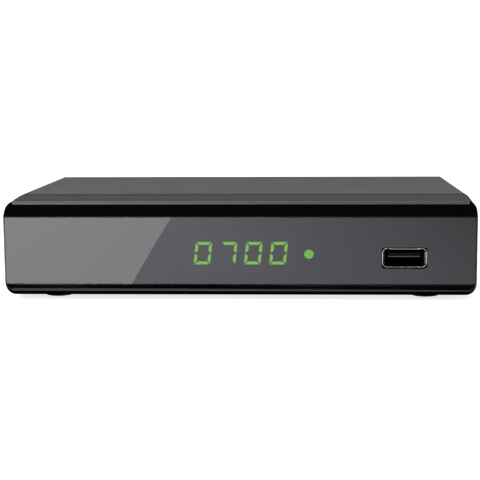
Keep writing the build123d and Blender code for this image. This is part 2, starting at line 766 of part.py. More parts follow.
# ---- Front port: drawn shell with a flared mouth, and the tongue inside ----
usb_inner_mouth = (usb_mouth[0] - 2 * usb_sheet, usb_mouth[1] - 2 * usb_sheet)
usb_inner = (usb_body[0] - 2 * usb_sheet, usb_body[1] - 2 * usb_sheet)
usb_flare_y = front_y + usb_flare
usb_outside = (usb_mouth, usb_body, usb_radius, Mode.ADD)
usb_inside = (usb_inner_mouth, usb_inner, usb_radius - usb_sheet, Mode.SUBTRACT)
with BuildPart() as usb_shell:
    for mouth, body, corner, mode in (usb_outside, usb_inside):
        for size, y in ((mouth, front_y), (body, usb_flare_y)):
            with BuildSketch(across(y)):
                with Locations((usb_x, usb_z)):
                    RectangleRounded(*size, corner)
        loft(mode=mode)
        with BuildSketch(across(usb_flare_y)):
            with Locations((usb_x, usb_z)):
                RectangleRounded(*body, corner)
        extrude(amount=-(front_board_y - usb_flare_y), mode=mode)
usb_shell.part.label = "usb_shell"
export_step(usb_shell.part, "parts/usb_shell.step")

usb_block_y = front_board_y - usb_block
with BuildPart() as usb_insert:
    with BuildSketch(across(front_board_y)):
        with Locations((usb_x, usb_z)):
            Rectangle(usb_inner[0] - 2 * fit_gap, usb_inner[1] - 2 * fit_gap)
    extrude(amount=usb_block)
    with BuildSketch(across(usb_block_y)):
        with Locations((usb_x, usb_z + usb_tongue_rise)):
            Rectangle(*usb_tongue)
    extrude(amount=usb_tongue_length)
    chamfer(usb_insert.faces().sort_by(Axis.Y)[0].edges(), usb_tongue_edge)
usb_insert.part.label = "usb_insert"
export_step(usb_insert.part, "parts/usb_insert.step")

# four spring contacts under the tongue
with BuildPart() as usb_contacts:
    with BuildSketch(level(usb_z + usb_tongue_rise - usb_tongue[1] / 2)):
        with Locations((usb_x, usb_block_y - usb_tongue_length / 2)):
            with GridLocations(usb_contact_pitch, 1, 4, 1):
                Rectangle(usb_contact[0], usb_tongue_length - 2 * usb_contact_inset)
    extrude(amount=-usb_contact[1])
usb_contacts.part.label = "usb_contacts"
export_step(usb_contacts.part, "parts/usb_contacts.step")

# ---- Link between the two boards ----
link_spot = (front_board_left + link_inset, front_board_back_y + link_size[1] / 2)
with BuildPart() as board_link:
    with BuildSketch(level(board_top_z)):
        with Locations(link_spot):
            Rectangle(link_size[0], link_size[1])
    extrude(amount=link_size[2])
    with BuildSketch(level(board_top_z + link_size[2])):
        with Locations(link_spot):
            with GridLocations(link_pitch, 1, link_count, 1):
                Rectangle(link_slot[0], link_slot[1])
    extrude(amount=-link_slot[2], mode=Mode.SUBTRACT)
board_link.part.label = "board_link"
export_step(board_link.part, "parts/board_link.step")


def on_board(place):
    # A spot on the main board, measured from the middle of its front edge.
    return (place[0], board_front_y + place[1])


# ---- Processor, heat sink, memory, flash, tuner chip and crystal ----
can_rear_y = board_rear_y - can_inset
soc_spot = on_board(soc_place)
tuner_chip_spot = (lnb_x + tuner_chip_offset[0], can_rear_y - can_size[1] - tuner_chip_offset[1])
chips = {"processor": (soc_spot, soc_size),
         "memory_chip": (on_board(memory_place), memory_size),
         "flash_chip": (on_board(flash_place), flash_size),
         "tuner_chip": (tuner_chip_spot, tuner_chip_size)}
for chip_name, (chip_spot, chip_size) in chips.items():
    with BuildPart() as chip:
        with BuildSketch(level(board_top_z)):
            with Locations(chip_spot):
                Rectangle(chip_size[0], chip_size[1])
        extrude(amount=chip_size[2])
        chamfer(chip.faces().sort_by(Axis.Z)[-1].edges(), chip_edge)
    chip.part.label = chip_name
    export_step(chip.part, f"parts/{chip_name}.step")

sink_z = board_top_z + soc_size[2]
with BuildPart() as heat_sink:
    with BuildSketch(level(sink_z)):
        with Locations(soc_spot):
            Rectangle(sink_size[0], sink_size[1])
    extrude(amount=sink_base)
    with BuildSketch(level(sink_z + sink_base)):
        with Locations(soc_spot):
            with GridLocations((sink_size[0] - fin_thick) / (fin_count - 1), 1, fin_count, 1):
                Rectangle(fin_thick, sink_size[1])
    extrude(amount=sink_size[2] - sink_base, taper=fin_draft)
heat_sink.part.label = "heat_sink"
export_step(heat_sink.part, "parts/heat_sink.step")

with BuildPart() as crystal:
    with BuildSketch(level(board_top_z)):
        with Locations(on_board(crystal_place)):
            SlotOverall(crystal_size[0], crystal_size[1])
    extrude(amount=crystal_size[2])
    chamfer(crystal.faces().sort_by(Axis.Z)[-1].edges(), crystal_edge)
crystal.part.label = "crystal"
export_step(crystal.part, "parts/crystal.step")

# ---- Power parts: capacitors and chokes ----
capacitor_y = board_rear_y - capacitor_back
crimp_rise, crimp_width, crimp_depth = capacitor_crimp
with BuildPart() as capacitors:
    with BuildSketch(level(board_top_z)):
        with Locations((power_x, capacitor_y)):
            with GridLocations(capacitor_pitch, 1, capacitor_count, 1):
                Circle(capacitor_radius)
    extrude(amount=capacitor_height)
    chamfer(capacitors.faces().group_by(Axis.Z)[-1].edges(), capacitor_edge)
    # the crimped groove near the foot, and the cross pressed in the top
    with BuildSketch(level(board_top_z + crimp_rise)):
        with Locations((power_x, capacitor_y)):
            with GridLocations(capacitor_pitch, 1, capacitor_count, 1):
                Circle(capacitor_radius)
                Circle(capacitor_radius - crimp_depth, mode=Mode.SUBTRACT)
    extrude(amount=crimp_width, mode=Mode.SUBTRACT)
    with BuildSketch(level(board_top_z + capacitor_height)):
        with Locations((power_x, capacitor_y)):
            with GridLocations(capacitor_pitch, 1, capacitor_count, 1):
                Rectangle(capacitor_vent[0], capacitor_vent[1])
                Rectangle(capacitor_vent[1], capacitor_vent[0])
    extrude(amount=-capacitor_vent[2], mode=Mode.SUBTRACT)
capacitors.part.label = "capacitors"
export_step(capacitors.part, "parts/capacitors.step")

with BuildPart() as chokes:
    with BuildSketch(level(board_top_z)):
        with Locations((power_x, board_rear_y - choke_back)):
            with GridLocations(capacitor_pitch, 1, choke_count, 1):
                RectangleRounded(choke_size, choke_size, choke_radius)
    extrude(amount=choke_height)
    chamfer(chokes.faces().group_by(Axis.Z)[-1].edges(), choke_edge)
chokes.part.label = "chokes"
export_step(chokes.part, "parts/chokes.step")

# ---- Tuner can, and the aerial socket with its nut and lock washer ----
can_spot = (lnb_x, can_rear_y - can_size[1] / 2)
with BuildPart() as tuner_can:
    with BuildSketch(level(board_top_z)):
        with Locations(can_spot):
            Rectangle(can_size[0], can_size[1])
    extrude(amount=can_size[2])
    chamfer(tuner_can.faces().sort_by(Axis.Z)[-1].edges(), can_edge)
    offset(amount=-can_sheet, openings=tuner_can.faces().sort_by(Axis.Z)[0])
    with BuildSketch(level(board_top_z + can_size[2])):
        with Locations(can_spot):
            with GridLocations(can_hole_pitch, can_hole_pitch, *can_holes):
                Circle(can_hole)
    extrude(amount=-can_sheet, mode=Mode.SUBTRACT)
tuner_can.part.label = "tuner_can"
export_step(tuner_can.part, "parts/tuner_can.step")

nut_foot_y = rear_y + washer_thick
nut_face_y = nut_foot_y + nut_thick
thread_start_y = nut_face_y + thread_start
thread_end_y = rear_y + thread_reach
with BuildPart() as lnb_socket:
    for radius, start_y, end_y in ((neck_radius, can_rear_y, thread_start_y),
                                   (thread_radius, thread_start_y, thread_end_y)):
        with BuildSketch(across(start_y)):
            with Locations((lnb_x, lnb_z)):
                Circle(radius)
                Circle(insulator_radius, mode=Mode.SUBTRACT)
        extrude(amount=-(end_y - start_y))
    chamfer(lnb_socket.faces().sort_by(Axis.Y)[-1].edges().sort_by(SortBy.RADIUS)[-1], socket_edge)
lnb_socket.part.label = "lnb_socket"
export_step(lnb_socket.part, "parts/lnb_socket.step")

with BuildPart() as lnb_insulator:
    with BuildSketch(across(can_rear_y)):
        with Locations((lnb_x, lnb_z)):
            Circle(insulator_radius)
            Circle(centre_hole, mode=Mode.SUBTRACT)
    extrude(amount=-(thread_end_y - insulator_sink - can_rear_y))
lnb_insulator.part.label = "lnb_insulator"
export_step(lnb_insulator.part, "parts/lnb_insulator.step")

with BuildPart() as lnb_washer:
    with BuildSketch(across(rear_y)):
        with Locations((lnb_x, lnb_z)):
            Circle(washer_radius)
            Circle(thread_radius + fit_gap, mode=Mode.SUBTRACT)
            with PolarLocations(washer_radius, washer_teeth):
                Rectangle(*washer_notch, mode=Mode.SUBTRACT)
    extrude(amount=-washer_thick)
lnb_washer.part.label = "lnb_washer"
export_step(lnb_washer.part, "parts/lnb_washer.step")

with BuildPart() as lnb_nut:
    with BuildSketch(across(nut_foot_y)):
        with Locations((lnb_x, lnb_z)):
            RegularPolygon(nut_flat, 6, major_radius=False)
            Circle(neck_radius + fit_gap, mode=Mode.SUBTRACT)
    extrude(amount=-nut_thick)
    # the turned cone that takes its corners off
    with BuildSketch(across(nut_face_y)):
        with Locations((lnb_x, lnb_z)):
            Circle(nut_flat)
    extrude(amount=nut_thick, taper=-nut_slope, mode=Mode.INTERSECT)
lnb_nut.part.label = "lnb_nut"
export_step(lnb_nut.part, "parts/lnb_nut.step")

# ---- Digital sound socket: moulded body, plated barrel, insulator ----
spdif_face_y = rear_y - sheet - fit_gap
barrel_start_y = rear_y + barrel_start
barrel_end_y = rear_y + barrel_reach
with BuildPart() as spdif_body:
    with BuildSketch(across(spdif_face_y)):
        with Locations((spdif_x, board_top_z + spdif_body_size[1] / 2)):
            Rectangle(*spdif_body_size)
    extrude(amount=spdif_body_depth)
spdif_body.part.label = "spdif_body"
export_step(spdif_body.part, "parts/spdif_body.step")

with BuildPart() as spdif_barrel:
    for radius, start_y, end_y in ((barrel_neck, spdif_face_y, barrel_start_y),
                                   (barrel_radius, barrel_start_y, barrel_end_y)):
        with BuildSketch(across(start_y)):
            with Locations((spdif_x, spdif_z)):
                Circle(radius)
                Circle(barrel_bore, mode=Mode.SUBTRACT)
        extrude(amount=-(end_y - start_y))
    chamfer(spdif_barrel.faces().sort_by(Axis.Y)[-1].edges().sort_by(SortBy.RADIUS)[-1], barrel_edge)
spdif_barrel.part.label = "spdif_barrel"
export_step(spdif_barrel.part, "parts/spdif_barrel.step")

with BuildPart() as spdif_insulator:
    with BuildSketch(across(spdif_face_y)):
        with Locations((spdif_x, spdif_z)):
            Circle(barrel_bore)
            Circle(barrel_pin_hole, mode=Mode.SUBTRACT)
    extrude(amount=-(barrel_end_y - barrel_sink - spdif_face_y))
spdif_insulator.part.label = "spdif_insulator"
export_step(spdif_insulator.part, "parts/spdif_insulator.step")

# ---- Scart socket: D-shaped well with a contact block standing in it ----
scart_rear_y = rear_y + scart_reach
corner_share = 2 - 2 ** 0.5         # how much a 45-degree corner shortens as its outline moves inwards


def scart_outline(shrink):
    # The well's outline, moved inwards by shrink: one lower corner is cut off.
    half_width = scart_cavity[0] / 2 - shrink
    half_height = scart_cavity[1] / 2 - shrink
    cut = scart_corner - shrink * corner_share
    return [(scart_x - half_width, scart_z + half_height), (scart_x + half_width, scart_z + half_height),
            (scart_x + half_width, scart_z - half_height),
            (scart_x - half_width + cut, scart_z - half_height),
            (scart_x - half_width, scart_z - half_height + cut)]


with BuildPart() as scart_housing:
    with BuildSketch(across(scart_rear_y)):
        with Locations((scart_x, scart_z)):
            Rectangle(*scart_size)
    extrude(amount=scart_depth)
    with BuildSketch(across(scart_rear_y)):
        Polygon(*scart_outline(0), align=None)
    extrude(amount=scart_well, mode=Mode.SUBTRACT)
scart_housing.part.label = "scart_housing"
export_step(scart_housing.part, "parts/scart_housing.step")

scart_block_y = scart_rear_y - scart_block_sink
with BuildPart() as scart_block:
    with BuildSketch(across(scart_rear_y - scart_well)):
        Polygon(*scart_outline(scart_groove), align=None)
    extrude(amount=-(scart_well - scart_block_sink))
    # two rows of contact slots, half a pitch apart
    with BuildSketch(across(scart_block_y)):
        for side in (-1, 1):
            with Locations((scart_x - side * scart_row_shift, scart_z + side * scart_row_rise)):
                with GridLocations(scart_pitch, 1, scart_row_count, 1):
                    Rectangle(scart_slot[0], scart_slot[1])
    extrude(amount=scart_slot[2], mode=Mode.SUBTRACT)
scart_block.part.label = "scart_block"
export_step(scart_block.part, "parts/scart_block.step")

# ---- Video socket: folded shell with a tongue ----
hdmi_rear_y = rear_y + hdmi_reach
hdmi_floor_y = hdmi_rear_y - hdmi_depth + hdmi_sheet


def hdmi_outline(shrink):
    # Wide at the top, narrower at the bottom, moved inwards by shrink.
    half_width = hdmi_size[0] / 2 - shrink
    low = hdmi_z - hdmi_size[1] / 2 + shrink
    high = hdmi_z + hdmi_size[1] / 2 - shrink
    cut = hdmi_corner - shrink * corner_share
    return [(hdmi_x - half_width, high), (hdmi_x + half_width, high), (hdmi_x + half_width, low + cut),
            (hdmi_x + half_width - cut, low), (hdmi_x - half_width + cut, low),
            (hdmi_x - half_width, low + cut)]


with BuildPart() as hdmi_shell:
    with BuildSketch(across(hdmi_rear_y)):
        Polygon(*hdmi_outline(0), align=None)
    extrude(amount=hdmi_depth)
    with BuildSketch(across(hdmi_rear_y)):
        Polygon(*hdmi_outline(hdmi_sheet), align=None)
    extrude(amount=hdmi_depth - hdmi_sheet, mode=Mode.SUBTRACT)
hdmi_shell.part.label = "hdmi_shell"
export_step(hdmi_shell.part, "parts/hdmi_shell.step")

with BuildPart() as hdmi_tongue:
    with BuildSketch(across(hdmi_floor_y)):
        Polygon(*hdmi_outline(hdmi_sheet + fit_gap), align=None)
    extrude(amount=-hdmi_block)
    with BuildSketch(across(hdmi_floor_y + hdmi_block)):
        with Locations((hdmi_x, hdmi_z + hdmi_tongue_rise)):
            Rectangle(*hdmi_tongue_size)
    extrude(amount=-(hdmi_depth - hdmi_sheet - hdmi_block - hdmi_tongue_sink))
hdmi_tongue.part.label = "hdmi_tongue"
export_step(hdmi_tongue.part, "parts/hdmi_tongue.step")

# ---- Power inlet: moulded jack with its centre pin ----
dc_rear_y = rear_y + dc_reach
dc_mid_y = dc_rear_y - dc_depth / 2
with BuildPart() as dc_jack:
    with BuildSketch(across(dc_rear_y)):
        with Locations((dc_x, dc_z)):
            Rectangle(*dc_size)
    extrude(amount=dc_depth)
    with BuildSketch(across(dc_rear_y)):
        with Locations((dc_x, dc_z)):
            Circle(dc_bore)
    extrude(amount=dc_bore_depth, mode=Mode.SUBTRACT)
    with BuildSketch(level(board_top_z)):
        with Locations((dc_x, dc_mid_y - dc_foot_inset[0])):
            Rectangle(dc_size[0] - 2 * dc_foot_inset[0], dc_depth - 2 * dc_foot_inset[1])
    extrude(amount=dc_rise)
dc_jack.part.label = "dc_jack"
export_step(dc_jack.part, "parts/dc_jack.step")

with BuildPart() as dc_pin:
    with BuildSketch(across(dc_rear_y - dc_bore_depth)):
        with Locations((dc_x, dc_z)):
            Circle(dc_pin_radius)
    extrude(amount=-(dc_bore_depth - dc_pin_sink))
    chamfer(dc_pin.faces().sort_by(Axis.Y)[-1].edges(), dc_pin_edge)
dc_pin.part.label = "dc_pin"
export_step(dc_pin.part, "parts/dc_pin.step")

# ---- Power switch: body with its bezel, and the rocker ----
switch_face_y = rear_y + switch_bezel_thick
pivot_y = switch_face_y - pivot_depth
with BuildPart() as switch_body:
    with BuildSketch(across(rear_y)):
        with Locations((switch_x, switch_z)):
            Rectangle(*switch_body_size)
    extrude(amount=switch_depth)
    with BuildSketch(across(rear_y)):
        with Locations((switch_x, switch_z)):
            RectangleRounded(*switch_bezel_size, switch_bezel_radius)
    extrude(amount=-switch_bezel_thick)
    with BuildSketch(across(switch_face_y)):
        with Locations((switch_x, switch_z)):
            Rectangle(*switch_cavity)
    extrude(amount=switch_cavity_depth, mode=Mode.SUBTRACT)
    # pivot holes above and below the rocker
    with BuildSketch(level(switch_z)):
        with Locations((switch_x, pivot_y)):
            Circle(pivot_radius + pivot_gap)
    extrude(amount=switch_cavity[1] / 2 + pivot_reach, both=True, mode=Mode.SUBTRACT)
    # legs down to the board
    with BuildSketch(level(board_top_z)):
        with Locations((switch_x, rear_y - switch_depth + switch_leg_inset)):
            with GridLocations(switch_leg_pitch, 1, 2, 1):
                Rectangle(*switch_leg)
    extrude(amount=switch_z - switch_body_size[1] / 2 - board_top_z)
switch_body.part.label = "switch_body"
export_step(switch_body.part, "parts/switch_body.step")

rocker_half_thick = switch_cavity[1] / 2 - rocker_clear
keel_half, keel_depth = rocker_keel
lean = radians(-rocker_tilt)
rocker_plane = Plane(origin=(switch_x, pivot_y, switch_z), x_dir=(cos(lean), sin(lean), 0), z_dir=(0, 0, 1))
with BuildPart() as power_rocker:
    with BuildSketch(rocker_plane):
        with BuildLine():
            Polyline((rocker_half, rocker_rise), (rocker_half, -rocker_shoulder),
                     (keel_half, -keel_depth), (-keel_half, -keel_depth),
                     (-rocker_half, -rocker_shoulder), (-rocker_half, rocker_rise))
            ThreePointArc((-rocker_half, rocker_rise), (0, rocker_dip), (rocker_half, rocker_rise))
        make_face()
    extrude(amount=rocker_half_thick, both=True)
    with BuildSketch(rocker_plane):
        Circle(pivot_radius)
    extrude(amount=switch_cavity[1] / 2 + pivot_reach - fit_gap, both=True)
power_rocker.part.label = "power_rocker"
export_step(power_rocker.part, "parts/power_rocker.step")

# ---- Screws ----
lip_plane = Plane(origin=(0, 0, base_z), x_dir=(1, 0, 0), z_dir=(0, 0, -1))
right_side = Plane(origin=(cover_width / 2, 0, 0), x_dir=(0, 1, 0), z_dir=(1, 0, 0))
left_side = Plane(origin=(-cover_width / 2, 0, 0), x_dir=(0, -1, 0), z_dir=(-1, 0, 0))
rear_of_front_board = Plane(origin=(0, front_board_back_y, 0), x_dir=(-1, 0, 0), z_dir=(0, 1, 0))
screw_groups = {
    "board_screws": (level(board_top_z), board_holes, board_thick + standoff_height - screw_end_gap),
    "fascia_screws": (lip_plane, [(x, -y) for x, y in lip_screws], board_z - base_z - 2 * screw_end_gap),
    "cover_screws_right": (right_side, cover_screw_spots, cover_screw_length),
    "cover_screws_left": (left_side, [(-y, z) for y, z in cover_screw_spots], cover_screw_length),
    "front_board_screws": (rear_of_front_board, [(-x, z) for x, z in post_spots], front_screw_length)}
for group_name, (plane, spots, length) in screw_groups.items():
    screw_group = screw_set(plane, spots, length)
    screw_group.label = group_name
    export_step(screw_group, f"parts/{group_name}.step")
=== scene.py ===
import bpy
import bmesh
import json
from math import copysign, cos, hypot, pi, radians, sin, sqrt, tan
from mathutils import Matrix, Vector

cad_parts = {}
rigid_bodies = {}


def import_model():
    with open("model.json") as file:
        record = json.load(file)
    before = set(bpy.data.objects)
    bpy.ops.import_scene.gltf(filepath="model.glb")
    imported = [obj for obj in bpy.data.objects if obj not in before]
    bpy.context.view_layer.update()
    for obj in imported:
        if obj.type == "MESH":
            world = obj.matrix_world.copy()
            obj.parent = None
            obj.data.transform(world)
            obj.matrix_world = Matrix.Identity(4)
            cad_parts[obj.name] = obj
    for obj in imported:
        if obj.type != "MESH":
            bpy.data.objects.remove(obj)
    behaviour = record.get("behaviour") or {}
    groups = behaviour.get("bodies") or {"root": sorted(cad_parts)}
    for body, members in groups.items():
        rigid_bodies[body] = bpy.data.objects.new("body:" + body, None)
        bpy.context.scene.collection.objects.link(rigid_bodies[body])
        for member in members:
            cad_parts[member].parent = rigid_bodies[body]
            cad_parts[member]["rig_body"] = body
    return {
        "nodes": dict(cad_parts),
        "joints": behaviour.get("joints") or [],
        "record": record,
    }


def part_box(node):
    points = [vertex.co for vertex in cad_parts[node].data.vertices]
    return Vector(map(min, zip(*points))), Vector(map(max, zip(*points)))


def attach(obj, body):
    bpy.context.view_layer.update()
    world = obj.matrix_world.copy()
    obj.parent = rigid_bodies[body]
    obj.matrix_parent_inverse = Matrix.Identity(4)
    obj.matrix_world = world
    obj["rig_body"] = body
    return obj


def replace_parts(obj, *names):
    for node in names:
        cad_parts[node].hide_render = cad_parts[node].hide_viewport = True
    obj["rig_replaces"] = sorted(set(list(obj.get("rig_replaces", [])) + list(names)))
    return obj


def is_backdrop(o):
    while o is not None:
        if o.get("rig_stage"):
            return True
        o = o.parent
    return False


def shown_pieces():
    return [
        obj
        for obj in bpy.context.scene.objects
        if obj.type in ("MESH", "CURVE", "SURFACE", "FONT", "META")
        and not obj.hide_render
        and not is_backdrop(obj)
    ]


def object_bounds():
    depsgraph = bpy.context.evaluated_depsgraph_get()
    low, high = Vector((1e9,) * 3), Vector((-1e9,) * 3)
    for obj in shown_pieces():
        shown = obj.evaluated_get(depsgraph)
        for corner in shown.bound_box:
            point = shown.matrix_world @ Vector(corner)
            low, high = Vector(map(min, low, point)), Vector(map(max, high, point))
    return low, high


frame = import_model()
cadLow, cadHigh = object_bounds()
nodes = frame["nodes"]
slotOf = {part["node"]: part["material_slot"] for part in frame["record"]["subparts"]}
mm = 0.001
print("frame loaded:", len(nodes), "parts")

# camera
cameraSet = {
    "spot": (0.02067, -0.44952, 0.07433),
    "yaw": 2.243,        # degrees, towards the object's middle
    "pitch": 7.704,      # degrees below level
    "roll": -0.285,
    "sensor": 36.0,
    "lens": 88.53,
    "shift": -0.03,
    "clipStart": 0.01,
}


def placeCamera(settings):
    data = bpy.data.cameras.new("studioCamera")
    data.sensor_width = settings["sensor"]
    data.lens = settings["lens"]
    data.shift_x = settings["shift"]
    data.clip_start = settings["clipStart"]
    camera = bpy.data.objects.new("studioCamera", data)
    turn = (Matrix.Rotation(radians(settings["yaw"]), 4, "Z")
            @ Matrix.Rotation(radians(90 - settings["pitch"]), 4, "X")
            @ Matrix.Rotation(radians(settings["roll"]), 4, "Z"))
    camera.matrix_world = Matrix.Translation(settings["spot"]) @ turn
    bpy.context.scene.collection.objects.link(camera)
    bpy.context.scene.camera = camera


placeCamera(cameraSet)

# stage: pale floor, white surroundings, a soft lamp, and sheets that only mirrors see
stageSet = {
    "floorSize": 6.0,
    "floorColour": (0.80, 0.80, 0.80),
    "floorLift": 0.79,          # added where the floor is seen, so that only the contact shadow is grey
    "skyStrength": 0.45,
    "skyBand": (0.25, 0.80),    # heights of the sky, as sines, between which its mirrored glow falls
    "skyGlow": (0.14, 0.02),
    "keyPower": 15.0,
    "keySize": 0.8,
    "keySpot": (-0.35, -0.95, 0.85),
    "leftGlow": (6.05, 5.2),    # the bright sheet on the floor that the window mirrors
    "leftReach": (-0.20, -0.05),
    "leftTint": (1.0, 1.0, 1.03),
    "rightGlow": (2.9, 0.82),   # the dimmer sheet beside it
    "rightReach": (-0.05, 0.16),
    "rightTint": (0.99, 0.97, 1.07),
    "splitNear": (-0.0411, 0.0315),   # where the two sheets meet: X, and distance before the window
    "splitFar": (-0.0528, 0.300),
    "sheetEnd": 0.5,
    "sheetLift": 0.0004,
    "slot": (0.0075, 0.019),    # a pale strip between dark ones, before the chin
    "slotGlow": 1.5,
    "backSpot": (0.0, 0.55, 0.85),    # a sheet above and behind, for the fascia's sloped strip
    "backSize": (1.6, 0.36),
    "backGlow": 2.2,
}


def linkObject(name, mesh):
    piece = bpy.data.objects.new(name, mesh)
    bpy.context.scene.collection.objects.link(piece)
    return piece


def flatSheet(name, corners, material):
    mesh = bpy.data.meshes.new(name)
    mesh.from_pydata([Vector(corner) for corner in corners], [], [tuple(range(len(corners)))])
    mesh.materials.append(material)
    piece = linkObject(name, mesh)
    piece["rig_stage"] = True
    return piece


def newMaterial(name):
    material = bpy.data.materials.new(name)
    material.use_nodes = True
    material.node_tree.nodes.clear()
    return material, material.node_tree


def mathNode(tree, operation, first, second):
    node = tree.nodes.new("ShaderNodeMath")
    node.operation = operation
    tree.links.new(first, node.inputs[0])
    tree.links.new(second, node.inputs[1])
    return node.outputs[0]


def raySeen(tree, *kinds):
    # 1 for any of the named kinds of ray, and 0 for the rest.
    rays = tree.nodes.new("ShaderNodeLightPath")
    seen = rays.outputs[kinds[0]]
    for kind in kinds[1:]:
        seen = mathNode(tree, "MAXIMUM", seen, rays.outputs[kind])
    return seen


def showSurface(tree, source, kind="ShaderNodeOutputMaterial"):
    out = tree.nodes.new(kind)
    tree.links.new(source, out.inputs["Surface"])


def spreadNode(tree, source, fromLow, fromHigh, low=0.0, high=1.0):
    # Maps a range of values to another.
    node = tree.nodes.new("ShaderNodeMapRange")
    limits = {"From Min": fromLow, "From Max": fromHigh, "To Min": low, "To Max": high}
    for socket, value in limits.items():
        node.inputs[socket].default_value = value
    tree.links.new(source, node.inputs["Value"])
    return node.outputs["Result"]


def floorMaterial(settings):
    # Plain diffuse paint with a lift, so that only the contact shadow is darker than white.
    material, tree = newMaterial("paleFloor")
    paint = tree.nodes.new("ShaderNodeBsdfDiffuse")
    paint.inputs["Color"].default_value = (*settings["floorColour"], 1)
    seen = raySeen(tree, "Is Camera Ray", "Is Glossy Ray", "Is Transmission Ray")
    level = spreadNode(tree, seen, 0.0, 1.0, 0.0, settings["floorLift"])
    glow = tree.nodes.new("ShaderNodeEmission")
    tree.links.new(level, glow.inputs["Strength"])
    both = tree.nodes.new("ShaderNodeAddShader")
    tree.links.new(paint.outputs[0], both.inputs[0])
    tree.links.new(glow.outputs[0], both.inputs[1])
    showSurface(tree, both.outputs[0])
    return material


def glowMaterial(name, levels, reach=(-1.0, 1.0), tint=(1.0, 1.0, 1.0)):
    # A lamp sheet whose strength runs evenly from one side to the other.
    material, tree = newMaterial(name)
    place = tree.nodes.new("ShaderNodeTexCoord")
    parts = tree.nodes.new("ShaderNodeSeparateXYZ")
    tree.links.new(place.outputs["Object"], parts.inputs[0])
    glow = tree.nodes.new("ShaderNodeEmission")
    glow.inputs["Color"].default_value = (*tint, 1)
    tree.links.new(spreadNode(tree, parts.outputs["X"], *reach, *levels), glow.inputs["Strength"])
    showSurface(tree, glow.outputs[0])
    return material


def mirrorSheet(name, corners, material):
    # A sheet that shows in mirrors alone.
    piece = flatSheet(name, corners, material)
    piece.visible_camera = False
    piece.visible_diffuse = False
    piece.visible_transmission = False
    piece.visible_shadow = False


def facingSheet(name, middle, width, height, material):
    # A mirror sheet that stands at middle and faces the origin.
    inward = -Vector(middle).normalized()
    across = inward.cross(Vector((0, 0, 1))).normalized() * width / 2
    upward = across.cross(inward).normalized() * height / 2
    corners = [Vector(middle) + x * across + z * upward for x, z in ((-1, -1), (1, -1), (1, 1), (-1, 1))]
    mirrorSheet(name, corners, material)


def buildStage(settings):
    half = settings["floorSize"] / 2
    corners = [(-half, -half, 0), (half, -half, 0), (half, half, 0), (-half, half, 0)]
    flatSheet("floorPlane", corners, floorMaterial(settings))

    frontY = cadLow.y
    lift = settings["sheetLift"]
    end = settings["sheetEnd"]
    nearX, nearGap = settings["splitNear"]
    farX, farGap = settings["splitFar"]
    nearY, farY = frontY - nearGap, frontY - farGap
    for side, edge in (("left", -end), ("right", end)):
        corners = [(edge, farY, lift), (farX, farY, lift), (nearX, nearY, lift), (edge, nearY, lift)]
        glow = glowMaterial(side + "SheetGlow", settings[side + "Glow"], settings[side + "Reach"],
                            settings[side + "Tint"])
        mirrorSheet(side + "Sheet", corners, glow)
    slotNear, slotFar = settings["slot"]
    strips = {"darkFar": (nearGap, slotFar, 0.0), "slotGlow": (slotFar, slotNear, settings["slotGlow"]),
              "darkNear": (slotNear, -nearGap, 0.0)}
    for name, (outer, inner, glow) in strips.items():
        corners = [(-end, frontY - outer, lift), (end, frontY - outer, lift),
                   (end, frontY - inner, lift), (-end, frontY - inner, lift)]
        mirrorSheet(name, corners, glowMaterial(name, (glow, glow)))
    glow = settings["backGlow"]
    facingSheet("backSheet", settings["backSpot"], *settings["backSize"],
                glowMaterial("backSheetGlow", (glow, glow)))

    key = bpy.data.lights.new("keySoftbox", "AREA")
    key.energy = settings["keyPower"]
    key.size = settings["keySize"]
    lamp = linkObject("keySoftbox", key)
    lamp.location = settings["keySpot"]
    lamp.rotation_euler = Vector(settings["keySpot"]).to_track_quat("Z", "Y").to_euler()


def whiteRoom(settings):
    # White to the eye; mirrors see it pale near the horizon and dark overhead.
    world = bpy.data.worlds.new("whiteRoom")
    bpy.context.scene.world = world
    world.use_nodes = True
    tree = world.node_tree
    tree.nodes.clear()
    place = tree.nodes.new("ShaderNodeTexCoord")
    parts = tree.nodes.new("ShaderNodeSeparateXYZ")
    tree.links.new(place.outputs["Generated"], parts.inputs[0])
    mirrorSky = spreadNode(tree, parts.outputs["Z"], *settings["skyBand"], *settings["skyGlow"])
    mirrored = tree.nodes.new("ShaderNodeMix")
    mirrored.inputs["A"].default_value = settings["skyStrength"]
    tree.links.new(raySeen(tree, "Is Glossy Ray"), mirrored.inputs["Factor"])
    tree.links.new(mirrorSky, mirrored.inputs["B"])
    seen = tree.nodes.new("ShaderNodeMix")
    seen.inputs["B"].default_value = 1.0
    tree.links.new(raySeen(tree, "Is Camera Ray", "Is Transmission Ray"), seen.inputs["Factor"])
    tree.links.new(mirrored.outputs["Result"], seen.inputs["A"])
    back = tree.nodes.new("ShaderNodeBackground")
    back.inputs["Color"].default_value = (1, 1, 1, 1)
    tree.links.new(seen.outputs["Result"], back.inputs["Strength"])
    showSurface(tree, back.outputs[0], "ShaderNodeOutputWorld")


buildStage(stageSet)
whiteRoom(stageSet)
bpy.context.scene.view_settings.view_transform = "Standard"
print("stage ready")


# shared surface effects, each a node group that gives values alone
effectSet = {
    "dustTilt": (0.2, 1.0),       # how far a face looks up where dust begins, and where it lies full
    "dustCloud": (0.35, 0.75),
    "dustThin": (0.4, 1.0),
    "edgeMatch": (0.995, 0.90),   # how well the rounded and the true normal agree
    "edgeBreakup": (0.3, 0.6),
    "edgeSamples": 4,
    "creviceOpen": (0.75, 0.35),  # how open a place is where shade begins, and where it is full
    "creviceSamples": 8,
    "zincCloud": 35.0,
}


